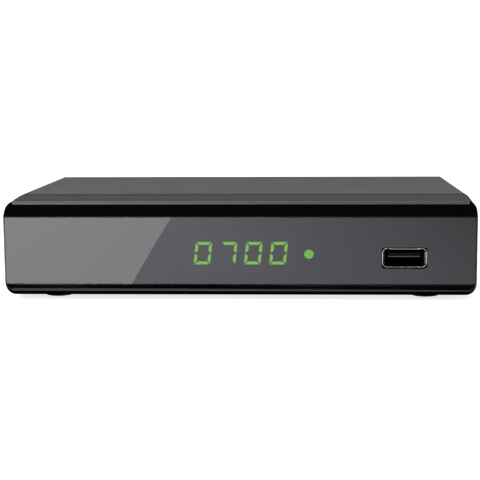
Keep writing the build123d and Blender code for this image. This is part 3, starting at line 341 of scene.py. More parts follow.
def effectGroup(name, ins, outs):
    group = bpy.data.node_groups.new(name, "ShaderNodeTree")
    for label, kind, value in ins:
        socket = group.interface.new_socket(label, in_out="INPUT", socket_type=kind)
        socket.default_value = value
    for label in outs:
        group.interface.new_socket(label, in_out="OUTPUT", socket_type="NodeSocketFloat")
    return group, group.nodes.new("NodeGroupInput"), group.nodes.new("NodeGroupOutput")


def noiseNode(tree, vector, scale, detail, roughness=0.5):
    node = tree.nodes.new("ShaderNodeTexNoise")
    node.inputs["Detail"].default_value = detail
    node.inputs["Roughness"].default_value = roughness
    tree.links.new(vector, node.inputs["Vector"])
    if isinstance(scale, float):
        node.inputs["Scale"].default_value = scale
    else:
        tree.links.new(scale, node.inputs["Scale"])
    return node.outputs["Fac"]


def makeGrain():
    # Fine moulded or sprayed texture: a height for bump, and a broad mottle.
    group, start, end = effectGroup(
        "surfaceGrain",
        [("Scale", "NodeSocketFloat", 3000.0), ("Mottle Scale", "NodeSocketFloat", 60.0)],
        ["Height", "Mottle"])
    place = group.nodes.new("ShaderNodeTexCoord").outputs["Object"]
    group.links.new(noiseNode(group, place, start.outputs["Scale"], 3, 0.6), end.inputs["Height"])
    group.links.new(noiseNode(group, place, start.outputs["Mottle Scale"], 4), end.inputs["Mottle"])
    return group


def makeDust(settings):
    # Dust that has settled on faces that look upwards.
    group, start, end = effectGroup(
        "settledDust",
        [("Amount", "NodeSocketFloat", 0.1), ("Scale", "NodeSocketFloat", 120.0)],
        ["Mask"])
    shape = group.nodes.new("ShaderNodeNewGeometry")
    parts = group.nodes.new("ShaderNodeSeparateXYZ")
    group.links.new(shape.outputs["Normal"], parts.inputs[0])
    upward = spreadNode(group, parts.outputs["Z"], *settings["dustTilt"])
    place = group.nodes.new("ShaderNodeTexCoord").outputs["Object"]
    cloud = noiseNode(group, place, start.outputs["Scale"], 6, 0.7)
    uneven = spreadNode(group, cloud, *settings["dustCloud"], *settings["dustThin"])
    both = mathNode(group, "MULTIPLY", upward, uneven)
    group.links.new(mathNode(group, "MULTIPLY", both, start.outputs["Amount"]), end.inputs["Mask"])
    return group


def makeEdgeWearAndPaintedLight(settings):
    # Edges, where the rounded normal parts from the true one: a mask for rubbed wear, and for painted
    # highlights and painted shade along edges.
    group, start, end = effectGroup(
        "edgeWearAndPaintedLight",
        [("Width", "NodeSocketFloat", 0.0004), ("Breakup", "NodeSocketFloat", 900.0)],
        ["Mask"])
    shape = group.nodes.new("ShaderNodeNewGeometry")
    soft = group.nodes.new("ShaderNodeBevel")
    soft.samples = settings["edgeSamples"]
    group.links.new(start.outputs["Width"], soft.inputs["Radius"])
    match = group.nodes.new("ShaderNodeVectorMath")
    match.operation = "DOT_PRODUCT"
    group.links.new(soft.outputs["Normal"], match.inputs[0])
    group.links.new(shape.outputs["Normal"], match.inputs[1])
    apart = spreadNode(group, match.outputs["Value"], *settings["edgeMatch"])
    place = group.nodes.new("ShaderNodeTexCoord").outputs["Object"]
    chips = spreadNode(group, noiseNode(group, place, start.outputs["Breakup"], 4), *settings["edgeBreakup"])
    group.links.new(mathNode(group, "MULTIPLY", apart, chips), end.inputs["Mask"])
    return group


def makeCrevice(settings):
    # Painted shade in narrow joints and hollows: the less open a place is, the darker it is painted.
    group, start, end = effectGroup(
        "creviceShade",
        [("Reach", "NodeSocketFloat", 0.0012)],
        ["Mask"])
    near = group.nodes.new("ShaderNodeAmbientOcclusion")
    near.samples = settings["creviceSamples"]
    group.links.new(start.outputs["Reach"], near.inputs["Distance"])
    shade = spreadNode(group, near.outputs["AO"], *settings["creviceOpen"])
    group.links.new(shade, end.inputs["Mask"])
    return group


def makeStreaks():
    # Drawn or rolled metal: long streaks along one axis.
    group, start, end = effectGroup(
        "rolledStreaks",
        [("Stretch", "NodeSocketVector", (40.0, 3000.0, 3000.0))],
        ["Streak"])
    place = group.nodes.new("ShaderNodeTexCoord")
    pull = group.nodes.new("ShaderNodeVectorMath")
    pull.operation = "MULTIPLY"
    group.links.new(place.outputs["Object"], pull.inputs[0])
    group.links.new(start.outputs["Stretch"], pull.inputs[1])
    group.links.new(noiseNode(group, pull.outputs["Vector"], 1.0, 4), end.inputs["Streak"])
    return group


def makeSpangle(settings):
    # Zinc crystals on hot-dipped sheet: flat patches, each with its own tone.
    group, start, end = effectGroup(
        "zincSpangle",
        [("Scale", "NodeSocketFloat", 260.0)],
        ["Patch", "Cloud"])
    place = group.nodes.new("ShaderNodeTexCoord").outputs["Object"]
    cells = group.nodes.new("ShaderNodeTexVoronoi")
    group.links.new(place, cells.inputs["Vector"])
    group.links.new(start.outputs["Scale"], cells.inputs["Scale"])
    tone = group.nodes.new("ShaderNodeSeparateColor")
    group.links.new(cells.outputs["Color"], tone.inputs[0])
    group.links.new(tone.outputs[0], end.inputs["Patch"])
    group.links.new(noiseNode(group, place, settings["zincCloud"], 5, 0.6), end.inputs["Cloud"])
    return group


grainGroup = makeGrain()
dustGroup = makeDust(effectSet)
edgeWearAndPaintedLightGroup = makeEdgeWearAndPaintedLight(effectSet)
creviceGroup = makeCrevice(effectSet)
streakGroup = makeStreaks()
spangleGroup = makeSpangle(effectSet)


class Finish:
    # One material under construction: a Principled shader and short calls that feed it.
    def __init__(self, name, **values):
        self.material, self.tree = newMaterial(name)
        self.shader = self.tree.nodes.new("ShaderNodeBsdfPrincipled")
        showSurface(self.tree, self.shader.outputs[0])
        self.set(**values)

    def set(self, **values):
        for label, value in values.items():
            self.shader.inputs[label.replace("_", " ")].default_value = value

    def feed(self, socket, source):
        self.tree.links.new(source, self.shader.inputs[socket])

    def use(self, group, **values):
        node = self.tree.nodes.new("ShaderNodeGroup")
        node.node_tree = group
        for label, value in values.items():
            node.inputs[label.replace("_", " ")].default_value = value
        return node.outputs

    def spread(self, source, low, high, fromLow=0.3, fromHigh=0.7):
        return spreadNode(self.tree, source, fromLow, fromHigh, low, high)

    def blend(self, factor, first, second):
        # Colours or sockets, mixed by a mask.
        node = self.tree.nodes.new("ShaderNodeMix")
        node.data_type = "RGBA"
        self.tree.links.new(factor, node.inputs["Factor"])
        colourSockets = [socket for socket in node.inputs if socket.type == "RGBA"]
        for socket, value in zip(colourSockets, (first, second)):
            if isinstance(value, tuple):
                socket.default_value = (*value, 1)
            else:
                self.tree.links.new(value, socket)
        return next(socket for socket in node.outputs if socket.type == "RGBA")

    def bump(self, source, depth):
        node = self.tree.nodes.new("ShaderNodeBump")
        node.inputs["Distance"].default_value = depth
        self.tree.links.new(source, node.inputs["Height"])
        self.feed("Normal", node.outputs["Normal"])


# Dust is a colour the thing has; joint and hollowShade are near-black tones of painted shade for joints and
# hollows.
dustAndShadeTones = {"dust": (0.42, 0.40, 0.37), "joint": (0.004, 0.004, 0.004), "hollowShade": (0.01, 0.01, 0.01)}


def plasticFinish(name, colour, shade, rough, grain, depth, dust=0.0, edgeWearAndLight=0.0, edgeTone=1.8,
                  edgeWidth=0.0004, crevice=0.0, reach=0.0012, shine=0.5, mottle=45.0):
    # Moulded or painted surface: a mottle between two close tones, fine grain, dust, edges set apart in tone
    # (rubbed wear on some finishes, a painted highlight on the fascia, painted shade on the cover), and
    # painted shade in joints.
    finish = Finish(name, Specular_IOR_Level=shine)
    texture = finish.use(grainGroup, Scale=grain, Mottle_Scale=mottle)
    dark = tuple(part * shade for part in colour)
    tone = finish.blend(finish.spread(texture["Mottle"], 0, 1), dark, colour)
    # Edge tone: rubbed wear on the sockets and switch, a painted highlight on the fascia, painted shade on
    # the cover.
    if edgeWearAndLight:
        edgeWearAndLightMask = finish.use(edgeWearAndPaintedLightGroup, Width=edgeWidth)["Mask"]
        shiftedTone = tuple(part * edgeTone for part in colour)
        tone = finish.blend(finish.spread(edgeWearAndLightMask, 0, edgeWearAndLight, 0, 1), tone, shiftedTone)
    # Painted shade in joints: the less open a place, the nearer its tone goes to near-black.
    if crevice:
        joint = finish.use(creviceGroup, Reach=reach)["Mask"]
        tone = finish.blend(finish.spread(joint, 0, crevice, 0, 1), tone, dustAndShadeTones["joint"])
    if dust:
        tone = finish.blend(finish.use(dustGroup, Amount=dust)["Mask"], tone, dustAndShadeTones["dust"])
    finish.feed("Base Color", tone)
    finish.feed("Roughness", finish.spread(texture["Mottle"], *rough))
    finish.bump(texture["Height"], depth)
    return finish.material


def metalFinish(name, colour, shade, rough, stretch, depth, crevice=0.0, reach=0.0012):
    # Plated or drawn metal with streaks along the way it was worked, and painted shade darkening its hollows.
    finish = Finish(name, Metallic=1.0)
    streak = finish.use(streakGroup, Stretch=stretch)["Streak"]
    dark = tuple(part * shade for part in colour)
    tone = finish.blend(finish.spread(streak, 0, 1), dark, colour)
    if crevice:
        hollowShadeMask = finish.use(creviceGroup, Reach=reach)["Mask"]
        tone = finish.blend(finish.spread(hollowShadeMask, 0, crevice, 0, 1), tone, dustAndShadeTones["hollowShade"])
    finish.feed("Base Color", tone)
    finish.feed("Roughness", finish.spread(streak, *rough))
    finish.bump(streak, depth)
    return finish.material


def zincFinish(name, colour, shade, rough, scale=260.0, cloud=0.5, depth=0.00003):
    # Hot-dipped sheet: each crystal has its own tone and gloss.
    finish = Finish(name, Metallic=1.0)
    crystals = finish.use(spangleGroup, Scale=scale)
    dark = tuple(part * shade for part in colour)
    tone = finish.blend(crystals["Patch"], dark, colour)
    shiftedTone = tuple(part * (1 + shade) / 2 for part in colour)
    finish.feed("Base Color", finish.blend(finish.spread(crystals["Cloud"], 0, cloud), tone, shiftedTone))
    finish.feed("Roughness", finish.spread(crystals["Patch"], *rough, 0, 1))
    finish.bump(crystals["Cloud"], depth)
    return finish.material


def smokedFinish(name, tint, haze=0.02):
    # Polished smoked acrylic with the faintest haze.
    finish = Finish(name, IOR=1.5, Transmission_Weight=1.0, Base_Color=(*tint, 1))
    texture = finish.use(grainGroup, Scale=90.0, Mottle_Scale=25.0)
    finish.feed("Roughness", finish.spread(texture["Mottle"], 0.0, haze))
    return finish.material


def litFinish(name, colour, strength, body=0.3, shade=0.9):
    # Glowing plastic, a little uneven as a diffuser is.
    finish = Finish(name, Base_Color=(*[part * body for part in colour], 1), Roughness=0.5,
                    Emission_Strength=strength)
    texture = finish.use(grainGroup, Scale=800.0, Mottle_Scale=400.0)
    dim = tuple(part * shade for part in colour)
    finish.feed("Emission Color", finish.blend(finish.spread(texture["Mottle"], 0, 1), dim, colour))
    return finish.material


finishes = {
    "bezel_gloss": plasticFinish("pianoBlack", (0.0015, 0.0015, 0.0017), 0.6, (0.03, 0.07), 500.0, 0.0000008),
    # The fascia gets a painted highlight along its edges, and painted shade in the joint by the cover.
    "fascia_matte": plasticFinish("matteFascia", (0.052, 0.052, 0.053), 0.94, (0.38, 0.44), 4200.0, 0.00001,
                                  dust=0.02, edgeWearAndLight=0.8, edgeTone=2.8, crevice=0.9, reach=0.003,
                                  shine=0.35),
    # The cover gets painted shade along its edges and in its joints.
    "cover_paint": plasticFinish("coverPaint", (0.112, 0.112, 0.113), 0.95, (0.55, 0.65), 2600.0, 0.00002,
                                 dust=0.02, edgeWearAndLight=0.9, edgeTone=0.35, edgeWidth=0.0009, crevice=0.9,
                                 shine=0.25),
    "foot_rubber": plasticFinish("footRubber", (0.014, 0.014, 0.014), 0.7, (0.65, 0.85), 2500.0, 0.00002),
    "board_mask": plasticFinish("boardMask", (0.015, 0.085, 0.035), 0.7, (0.3, 0.45), 1800.0, 0.00001),
    "display_black": plasticFinish("displayBlack", (0.003, 0.003, 0.003), 0.7, (0.6, 0.7), 2500.0, 0.00001,
                                   shine=0.1),
    "holder_white": plasticFinish("naturalNylon", (0.72, 0.71, 0.66), 0.92, (0.4, 0.5), 1500.0, 0.00001),
    "socket_black": plasticFinish("socketBlack", (0.022, 0.022, 0.023), 0.7, (0.35, 0.5), 2600.0, 0.00002,
                                  edgeWearAndLight=0.3),
    "port_black": plasticFinish("portBlack", (0.004, 0.004, 0.004), 0.8, (0.6, 0.7), 2600.0, 0.00001,
                                shine=0.04),
    # A grey that stands for the highlight on the port tongue's lower front edge: a painted highlight.
    "port_highlight_bar": plasticFinish("portHighlightBar", (0.085, 0.085, 0.085), 0.8, (0.45, 0.55), 2600.0, 0.00001),
    "chip_epoxy": plasticFinish("chipEpoxy", (0.028, 0.028, 0.03), 0.75, (0.5, 0.65), 3500.0, 0.00001),
    "choke_ferrite": plasticFinish("chokeFerrite", (0.06, 0.06, 0.062), 0.7, (0.6, 0.75), 2500.0, 0.00002),
    "capacitor_sleeve": plasticFinish("capacitorSleeve", (0.03, 0.03, 0.05), 0.75, (0.25, 0.35), 900.0,
                                      0.00001),
    "insulator_white": plasticFinish("insulatorWhite", (0.78, 0.78, 0.74), 0.9, (0.3, 0.4), 1500.0, 0.00001),
    "insulator_orange": plasticFinish("insulatorOrange", (0.78, 0.23, 0.03), 0.88, (0.3, 0.4), 1500.0,
                                      0.00001),
    "switch_black": plasticFinish("switchBlack", (0.018, 0.018, 0.018), 0.8, (0.25, 0.35), 2200.0, 0.00001,
                                  edgeWearAndLight=0.3),
    "chassis_steel": zincFinish("galvanisedSheet", (0.56, 0.57, 0.58), 0.78, (0.34, 0.50)),
    "shell_nickel": metalFinish("brightNickel", (0.66, 0.65, 0.62), 0.85, (0.16, 0.26),
                                (300.0, 2500.0, 300.0), 0.000004),
    # Painted shade darkens the port shell's hollows, so its inner flare and set-back top lip look dark.
    "port_nickel": metalFinish("portNickel", (0.60, 0.59, 0.57), 0.85, (0.18, 0.28),
                               (300.0, 2500.0, 300.0), 0.000004, crevice=0.97, reach=0.012),
    "contact_gold": metalFinish("goldFlash", (0.9, 0.66, 0.28), 0.88, (0.2, 0.3),
                                (3000.0, 200.0, 3000.0), 0.000004),
    "sink_aluminium": metalFinish("sinkAluminium", (0.66, 0.67, 0.68), 0.84, (0.3, 0.42),
                                  (3000.0, 60.0, 3000.0), 0.00001),
    "can_tin": metalFinish("tinPlate", (0.62, 0.62, 0.6), 0.8, (0.25, 0.4), (200.0, 1500.0, 900.0), 0.00001),
    "screw_zinc": metalFinish("zincScrew", (0.6, 0.6, 0.57), 0.8, (0.28, 0.4),
                              (900.0, 900.0, 900.0), 0.00001),
    "screw_black": metalFinish("blackScrew", (0.05, 0.05, 0.052), 0.6, (0.35, 0.5),
                               (900.0, 900.0, 900.0), 0.00001),
    "window_smoke": smokedFinish("smokedWindow", (0.05, 0.05, 0.052)),
    "segment_green": litFinish("litSegment", (0.19, 0.565, 0.002), 15.8),
    "led_green": litFinish("litLamp", (0.13, 0.50, 0.002), 16.5),
}
print("finishes ready:", len(finishes))


# pieces: every one rides on a body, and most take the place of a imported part
def settle(piece, slot, body, node=None, finish=None):
    piece.data.materials.clear()
    piece.data.materials.append(finishes[finish or slot])
    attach(piece, body)
    if node:
        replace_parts(piece, node)


def smoothFaces(piece, sharpAngle=None):
    for face in piece.data.polygons:
        face.use_smooth = True
    if sharpAngle:
        piece.data.set_sharp_from_angle(angle=radians(sharpAngle))


def joinRings(work, rings, capped=False):
    # Faces between each ring of points and the next, and over both ends; one point may fill a whole ring.
    for near, far in zip(rings, rings[1:]):
        for step in range(len(near)):
            after = (step + 1) % len(near)
            corners = [near[step], near[after], far[after], far[step]]
            work.faces.new(list(dict.fromkeys(corners)))
    if capped:
        work.faces.new(rings[0])
        work.faces.new(rings[-1])


def meshPiece(name, work):
    # Turns the faces of a work mesh outwards and puts it in the scene.
    bmesh.ops.recalc_face_normals(work, faces=work.faces)
    mesh = bpy.data.meshes.new(name)
    work.to_mesh(mesh)
    work.free()
    return linkObject(name, mesh)


def boxOf(node):
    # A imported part's box and its middle.
    low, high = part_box(node)
    return low, high, (low + high) / 2


def roundEdges(piece, width, steps=2, corner=32):
    # Bevels what is sharper than the corner angle, and keeps the flats flat to the eye.
    smoothFaces(piece)
    rounding = piece.modifiers.new("edgeRounding", "BEVEL")
    rounding.width = width
    rounding.segments = steps
    rounding.limit_method = "ANGLE"
    rounding.angle_limit = radians(corner)
    evening = piece.modifiers.new("evenNormals", "WEIGHTED_NORMAL")
    evening.weight = 100


def cleanCopy(node, name, weld=2e-6, flat=0.4):
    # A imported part's mesh, with its points welded and its flats in one piece.
    mesh = nodes[node].data.copy()
    mesh.name = name
    work = bmesh.new()
    work.from_mesh(mesh)
    bmesh.ops.remove_doubles(work, verts=work.verts, dist=weld)
    bmesh.ops.dissolve_limit(work, angle_limit=radians(flat), verts=work.verts, edges=work.edges)
    work.to_mesh(mesh)
    work.free()
    if "custom_normal" in mesh.attributes:
        mesh.attributes.remove(mesh.attributes["custom_normal"])
    return mesh


# The case's sides are set out a little and its upper corners tightened, growing from a start over a run,
# in mm. Draw is how far the side comes in over the run, and keep is what is left of the corner's radius.
caseSides = {
    "fascia_body": {"side": 80.0, "draw": 0.6, "top": 33.8, "radii": (3.0, 1.0), "start": -49.15, "run": 19.4,
                    "keep": 0.45, "out": 0.6},
    "top_cover": {"side": 78.8, "draw": 0.0, "top": 34.1, "radii": (1.1, 1.1), "start": -30.0, "run": 0.1,
                  "keep": 0.5, "out": 0.65},
    "chassis": {"side": 77.9, "draw": 0.0, "top": 33.2, "radii": (0.3, 0.3), "start": -30.0, "run": 0.1,
                "keep": 1.0, "out": 0.65},
}


def squareSides(mesh, shape, flank=0.92, band=0.3):
    # Moves the points of the flanks, and those that lie in a band round the corner's arc.
    for vert in mesh.vertices:
        x, z = abs(vert.co.x) / mm, vert.co.z / mm
        if x < flank * shape["side"]:
            continue
        along = min(1, max(0, (vert.co.y / mm - shape["start"]) / shape["run"]))
        side = shape["side"] - shape["draw"] * along
        radius = shape["radii"][0] + (shape["radii"][1] - shape["radii"][0]) * along
        acrossX, acrossZ = x - (side - radius), z - (shape["top"] - radius)
        reach = hypot(acrossX, acrossZ)
        if acrossX > 0 and acrossZ > 0 and abs(reach - radius) < band * radius:
            tight = radius * (1 - (1 - shape["keep"]) * along)
            x = side - tight + tight * acrossX / reach
            z = shape["top"] - tight + tight * acrossZ / reach
        vert.co.x = copysign((x + shape["out"] * along) * mm, vert.co.x)
        vert.co.z = z * mm


def roundedCopy(node, name, width, steps, finish=None):
    piece = linkObject(name, cleanCopy(node, name))
    if node in caseSides:
        squareSides(piece.data, caseSides[node])
    roundEdges(piece, width, steps)
    settle(piece, slotOf[node], nodes[node]["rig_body"], node, finish)


roundedParts = {
    "front_bezel": ("bezelFrame", 0.30, 3),
    "fascia_body": ("fasciaShell", 0.15, 2),
    "front_window": ("smokedPane", 0.12, 2),
    "top_cover": ("coverSheet", 0.12, 2),
    "chassis": ("chassisSheet", 0.12, 2),
    "usb_insert": ("portTongue", 0.12, 3, "port_black"),
    "scart_housing": ("scartHousing", 0.15, 2),
    "scart_block": ("scartBlock", 0.10, 2),
    "hdmi_shell": ("hdmiShell", 0.08, 2),
    "hdmi_tongue": ("hdmiTongue", 0.06, 2),
    "dc_jack": ("powerInlet", 0.15, 2),
    "dc_pin": ("powerPin", 0.10, 2),
    "switch_body": ("switchBody", 0.15, 3),
    "power_rocker": ("powerRocker", 0.20, 3),
    "lnb_nut": ("aerialNut", 0.12, 2),
    "lnb_washer": ("aerialWasher", 0.08, 2),
    "spdif_body": ("soundBody", 0.15, 2),
    "cover_screws_left": ("coverScrewsLeft", 0.10, 2),
    "cover_screws_right": ("coverScrewsRight", 0.10, 2),
    "fascia_screws": ("fasciaScrews", 0.10, 2),
}
for node, (pieceName, width, steps, *finish) in roundedParts.items():
    roundedCopy(node, pieceName, width * mm, steps, *finish)
print("rounded pieces:", len(roundedParts))


def spun(name, stations, spot, direction, segments=72, closed=False):
    # Rings round an axis: a station is a radius, or a rule that gives it by the turn, and a height.
    turn = Vector((0, 0, 1)).rotation_difference(Vector(direction)).to_matrix().to_4x4()
    place = Matrix.Translation(spot) @ turn
    work = bmesh.new()
    rings = []
    for radius, height in stations:
        if radius == 0:
            rings.append([work.verts.new(place @ Vector((0, 0, height * mm)))] * segments)
            continue
        ring = []
        for step in range(segments):
            share = step / segments
            reach = (radius(share) if callable(radius) else radius) * mm
            spoke = Vector((reach * cos(2 * pi * share), reach * sin(2 * pi * share), height * mm))
            ring.append(work.verts.new(place @ spoke))
        rings.append(ring)
    joinRings(work, rings + rings[:1] if closed else rings)
    return meshPiece(name, work)


# front port: a folded shell whose mouth flares like a trumpet, with a rolled lip
portSet = {"mouth": (14.9, 6.5), "body": (13.1, 5.72), "mouthCorner": 1.6, "bodyCorner": 0.7, "sheet": 0.2,
           "flare": 2.2, "flareSteps": 8, "flareCurve": 3.0, "lipSteps": 4, "cornerSteps": 8, "sideSteps": 12,
           "lift": 0.1,
           "cutBack": 1.8, "cutReach": 0.95, "cutThin": 0.8,   # along its top the lip stands back and is thin
           "cutPower": 10, "cutBand": 0.9,
           "lipThick": 0.42, "lipLength": 10.8, "lipRise": 0.36, "lipSides": 10, "lipEnd": 0.5}


def roundedLoop(halfWidth, halfHeight, corner, steps, sideSteps=1):
    # Points (x, z) round a rectangle with round corners, with more points along its top and bottom.
    points = []
    for quarter, (signX, signZ) in enumerate(((1, 1), (-1, 1), (-1, -1), (1, -1))):
        centreX, centreZ = signX * (halfWidth - corner), signZ * (halfHeight - corner)
        for step in range(steps + 1):
            angle = pi / 2 * (quarter + step / steps)
            points.append((centreX + corner * cos(angle), centreZ + corner * sin(angle)))
        if quarter in (0, 2):
            points += [(centreX * (1 - 2 * step / sideSteps), signZ * halfHeight)
                       for step in range(1, sideSteps)]
    return points


def skinPiece(name, loops, closed):
    # A smooth skin over rings of points, each ring joined to the next.
    work = bmesh.new()
    rings = [[work.verts.new(point) for point in loop] for loop in loops]
    joinRings(work, rings + rings[:1] if closed else rings, capped=not closed)
    piece = meshPiece(name, work)
    smoothFaces(piece)
    return piece


def buildPortShell(settings):
    low, high, middle = boxOf("usb_shell")
    length = (high.y - low.y) / mm
    sheet = settings["sheet"]
    stations = []
    for side in (1, -1):
        outward = 0 if side > 0 else -sheet
        run = [(length, 0.0, outward)]
        for step in range(settings["flareSteps"] + 1):
            share = step / settings["flareSteps"]
            depth = settings["flare"] * (1 - share) + sheet / 2
            run.append((depth, share ** settings["flareCurve"], outward))
        if side > 0:
            for step in range(1, settings["lipSteps"]):
                angle = pi * step / settings["lipSteps"]
                run.append((sheet / 2 * (1 - sin(angle)), 1.0, -sheet / 2 * (1 - cos(angle))))
        stations += run[::side]
    loops = []
    for depth, flare, inward in stations:
        halves = [(body + (mouth - body) * flare) / 2 + inward
                  for body, mouth in zip(settings["body"], settings["mouth"])]
        corner = settings["bodyCorner"] + (settings["mouthCorner"] - settings["bodyCorner"]) * flare + inward
        loop = roundedLoop(*halves, corner, settings["cornerSteps"], settings["sideSteps"])
        lift = settings["lift"] * flare
        points = []
        for x, z in loop:
            aside = x / (settings["cutReach"] * (halves[0] - corner))
            share = flare * max(0, 1 - aside ** settings["cutPower"]) * (z > halves[1] * settings["cutBand"])
            back = settings["cutBack"] * share
            thinned = lift - settings["cutThin"] * share * inward
            points.append((middle.x + x * mm, low.y + (depth + back) * mm, middle.z + (z + thinned) * mm))
        loops.append(points)
    settle(skinPiece("portShell", loops, True), slotOf["usb_shell"], "housing", "usb_shell", "port_nickel")


def buildTongueHighlightBar(settings):
    # A pale bar along the tongue's lower front edge; its pale colour is a painted highlight.
    low, _, middle = boxOf("usb_insert")
    thick, half = settings["lipThick"] * mm, settings["lipLength"] / 2 * mm
    sides, end = settings["lipSides"], settings["lipEnd"]
    turns = [2 * pi * step / sides for step in range(sides)]
    loops = []
    for x, size in ((-half, end), (thick / 2 - half, 1), (half - thick / 2, 1), (half, end)):
        loops.append([(middle.x + x, low.y + thick * (1 - size * cos(turn)) / 2,
                       middle.z + settings["lipRise"] * mm + thick * size * sin(turn) / 2) for turn in turns])
    settle(skinPiece("portTongueHighlightBar", loops, False), slotOf["usb_insert"], "housing", finish="port_highlight_bar")


buildPortShell(portSet)
buildTongueHighlightBar(portSet)

# spring contacts under the port's tongue: each starts behind its edge and tapers to a nose
contactSet = {"count": 4, "pitch": 2.3, "width": 1.0, "thick": 0.2, "start": 2.2, "end": 8.4, "nose": 1.2,
              "tip": (0.5, 0.25), "under": 0.8}   # shares: width and thickness at the tip, width underneath


def buildContacts(settings):
    _, high, middle = boxOf("usb_contacts")
    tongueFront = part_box("usb_insert")[0].y
    start, end, under = settings["start"], settings["end"], settings["under"]
    work = bmesh.new()
    half = settings["width"] / 2
    for place in range(settings["count"]):
        x = middle.x + (place - (settings["count"] - 1) / 2) * settings["pitch"] * mm
        rings = []
        for depth, narrow, thin in ((start, *settings["tip"]), (start + settings["nose"], 1, 1), (end, 1, 1)):
            y = tongueFront + depth * mm
            thick = settings["thick"] * thin
            rings.append([work.verts.new((x + sideX * half * narrow * mm, y, high.z - drop * mm))
                          for sideX, drop in ((-1, 0), (1, 0), (under, thick), (-under, thick))])
        joinRings(work, rings, capped=True)
    settle(meshPiece("portContacts", work), slotOf["usb_contacts"], "housing", "usb_contacts")


buildContacts(contactSet)
print("front port ready")

# the clock's figures: bars with mitred ends and a dark line between them
figureSet = {"shown": "0700", "width": 5.6, "height": 7.66, "pitch": 8.56, "stroke": 1.0, "mitre": 0.30,
             "split": 0.30, "slant": 6.4, "thick": 0.3, "shift": 0.32, "rise": 0.06, "corner": 0.06,
             "endInner": 0.55, "endTip": 0.3}   # where the bars' middle ends are cut, as shares of the stroke
litBars = {"0": ("top", "bottom", "upperLeft", "upperRight", "lowerLeft", "lowerRight"),
           "7": ("top", "upperRight", "lowerRight")}


def barOutlines(settings):
    # The upper bar and the upper left bar; the others are their mirror images.
    halfW, halfH = settings["width"] / 2, settings["height"] / 2
    stroke, mitre, split = settings["stroke"], settings["mitre"], settings["split"]
    upper = [(mitre - halfW, halfH), (halfW - mitre, halfH),
             (halfW - mitre - stroke, halfH - stroke), (mitre + stroke - halfW, halfH - stroke)]
    side = [(-halfW, halfH - mitre), (stroke - halfW, halfH - mitre - stroke),
            (stroke - halfW, split + stroke * settings["endInner"]),
            (stroke * settings["endTip"] - halfW, split), (-halfW, split)]
    return {"top": (upper, 1, 1), "bottom": (upper, 1, -1), "upperLeft": (side, 1, 1),
            "upperRight": (side, -1, 1), "lowerLeft": (side, 1, -1), "lowerRight": (side, -1, -1)}


def buildFigures(settings):
    low, _, middle = boxOf("lit_segments")
    outlines = barOutlines(settings)
    slope = tan(radians(settings["slant"]))
    work = bmesh.new()
    count = len(settings["shown"])
    for place, figure in enumerate(settings["shown"]):
        centre = settings["shift"] + (place - (count - 1) / 2) * settings["pitch"]
        for bar in litBars[figure]:
            outline, signX, signZ = outlines[bar]
            rings = []
            for y in (low.y, low.y + settings["thick"] * mm):
                ring = []
                for x, z in outline:
                    x, z = x * signX, z * signZ
                    ring.append(work.verts.new((middle.x + (centre + x + z * slope) * mm, y,
                                                middle.z + (z + settings["rise"]) * mm)))
                rings.append(ring)
            joinRings(work, rings, capped=True)
    piece = meshPiece("clockFigures", work)
    roundEdges(piece, settings["corner"] * mm, 1)
    settle(piece, slotOf["lit_segments"], "housing", "lit_segments")


buildFigures(figureSet)

# the lamp: a round lens with a domed front, in a matt sleeve that lines its hole
lampSet = {"radius": 1.62, "dome": 0.7, "domeSteps": 8, "aside": 0.13,
           "sleeveGap": 0.03, "hole": 1.84, "rim": 0.29, "sink": 0.02, "depth": 1.5, "sharp": 40}


def buildLamp(settings):
    low, high, middle = boxOf("power_led")
    radius, dome = settings["radius"], settings["dome"]
    profile = [(0, 0)]
    for step in range(settings["domeSteps"] + 1):
        angle = pi / 2 * step / settings["domeSteps"]
        profile.append((radius - dome + dome * sin(angle), dome - dome * cos(angle)))
    length = (high.y - low.y) / mm
    profile += [(radius, length), (0, length)]
    piece = spun("powerLamp", profile, (middle.x + settings["aside"] * mm, low.y, middle.z), (0, 1, 0))
    smoothFaces(piece, settings["sharp"])
    settle(piece, slotOf["power_led"], "housing", "power_led")


def buildLampSleeve(settings):
    # Its bore follows the lens, which stands a little aside of the hole.
    middle = boxOf("power_led")[2]
    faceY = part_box("front_window")[1].y
    aside, bore = settings["aside"], settings["radius"] + settings["sleeveGap"]
    hole, rim, sink, depth = settings["hole"], settings["rim"], settings["sink"], settings["depth"]

    def inner(share):
        turn = 2 * pi * share
        return aside * cos(turn) + sqrt(bore ** 2 - (aside * sin(turn)) ** 2)

    profile = [(inner, sink), (hole + rim, sink), (hole, sink + rim), (hole, depth), (inner, depth)]
    piece = spun("lampSleeve", profile, (middle.x, faceY, middle.z), (0, 1, 0), closed=True)
    settle(piece, "display_black", "housing")


buildLamp(lampSet)
buildLampSleeve(lampSet)
print("figures lit")

# rubber feet: a rounded rim, and a dished sole with a rib round it
footSet = {"rim": 0.45, "rimSteps": 5, "draft": 0.1, "dish": 0.5, "dishRadius": 3.3, "dishSlope": 0.4,
           "ribRise": 0.1, "ribRun": 0.2, "edge": 0.08}


def buildFoot(node, settings):
    low, high, middle = boxOf(node)
    topRadius = (high.x - low.x) / 2 / mm
    soleRadius = topRadius - settings["draft"]
    rim = settings["rim"]
    dish, dishRadius = settings["dish"], settings["dishRadius"]
    profile = [(0, dish), (dishRadius - settings["dishSlope"], dish), (dishRadius, settings["ribRise"]),
               (dishRadius + settings["ribRun"], 0)]
    for step in range(settings["rimSteps"] + 1):
        angle = pi / 2 * step / settings["rimSteps"]
        profile.append((soleRadius - rim + rim * sin(angle), rim - rim * cos(angle)))
    height = (high.z - low.z) / mm
    profile += [(topRadius, height), (0, height)]
    foot = spun("rubber_" + node, profile, (middle.x, middle.y, low.z), (0, 0, 1))
    roundEdges(foot, settings["edge"] * mm)
    settle(foot, slotOf[node], nodes[node]["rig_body"], node)


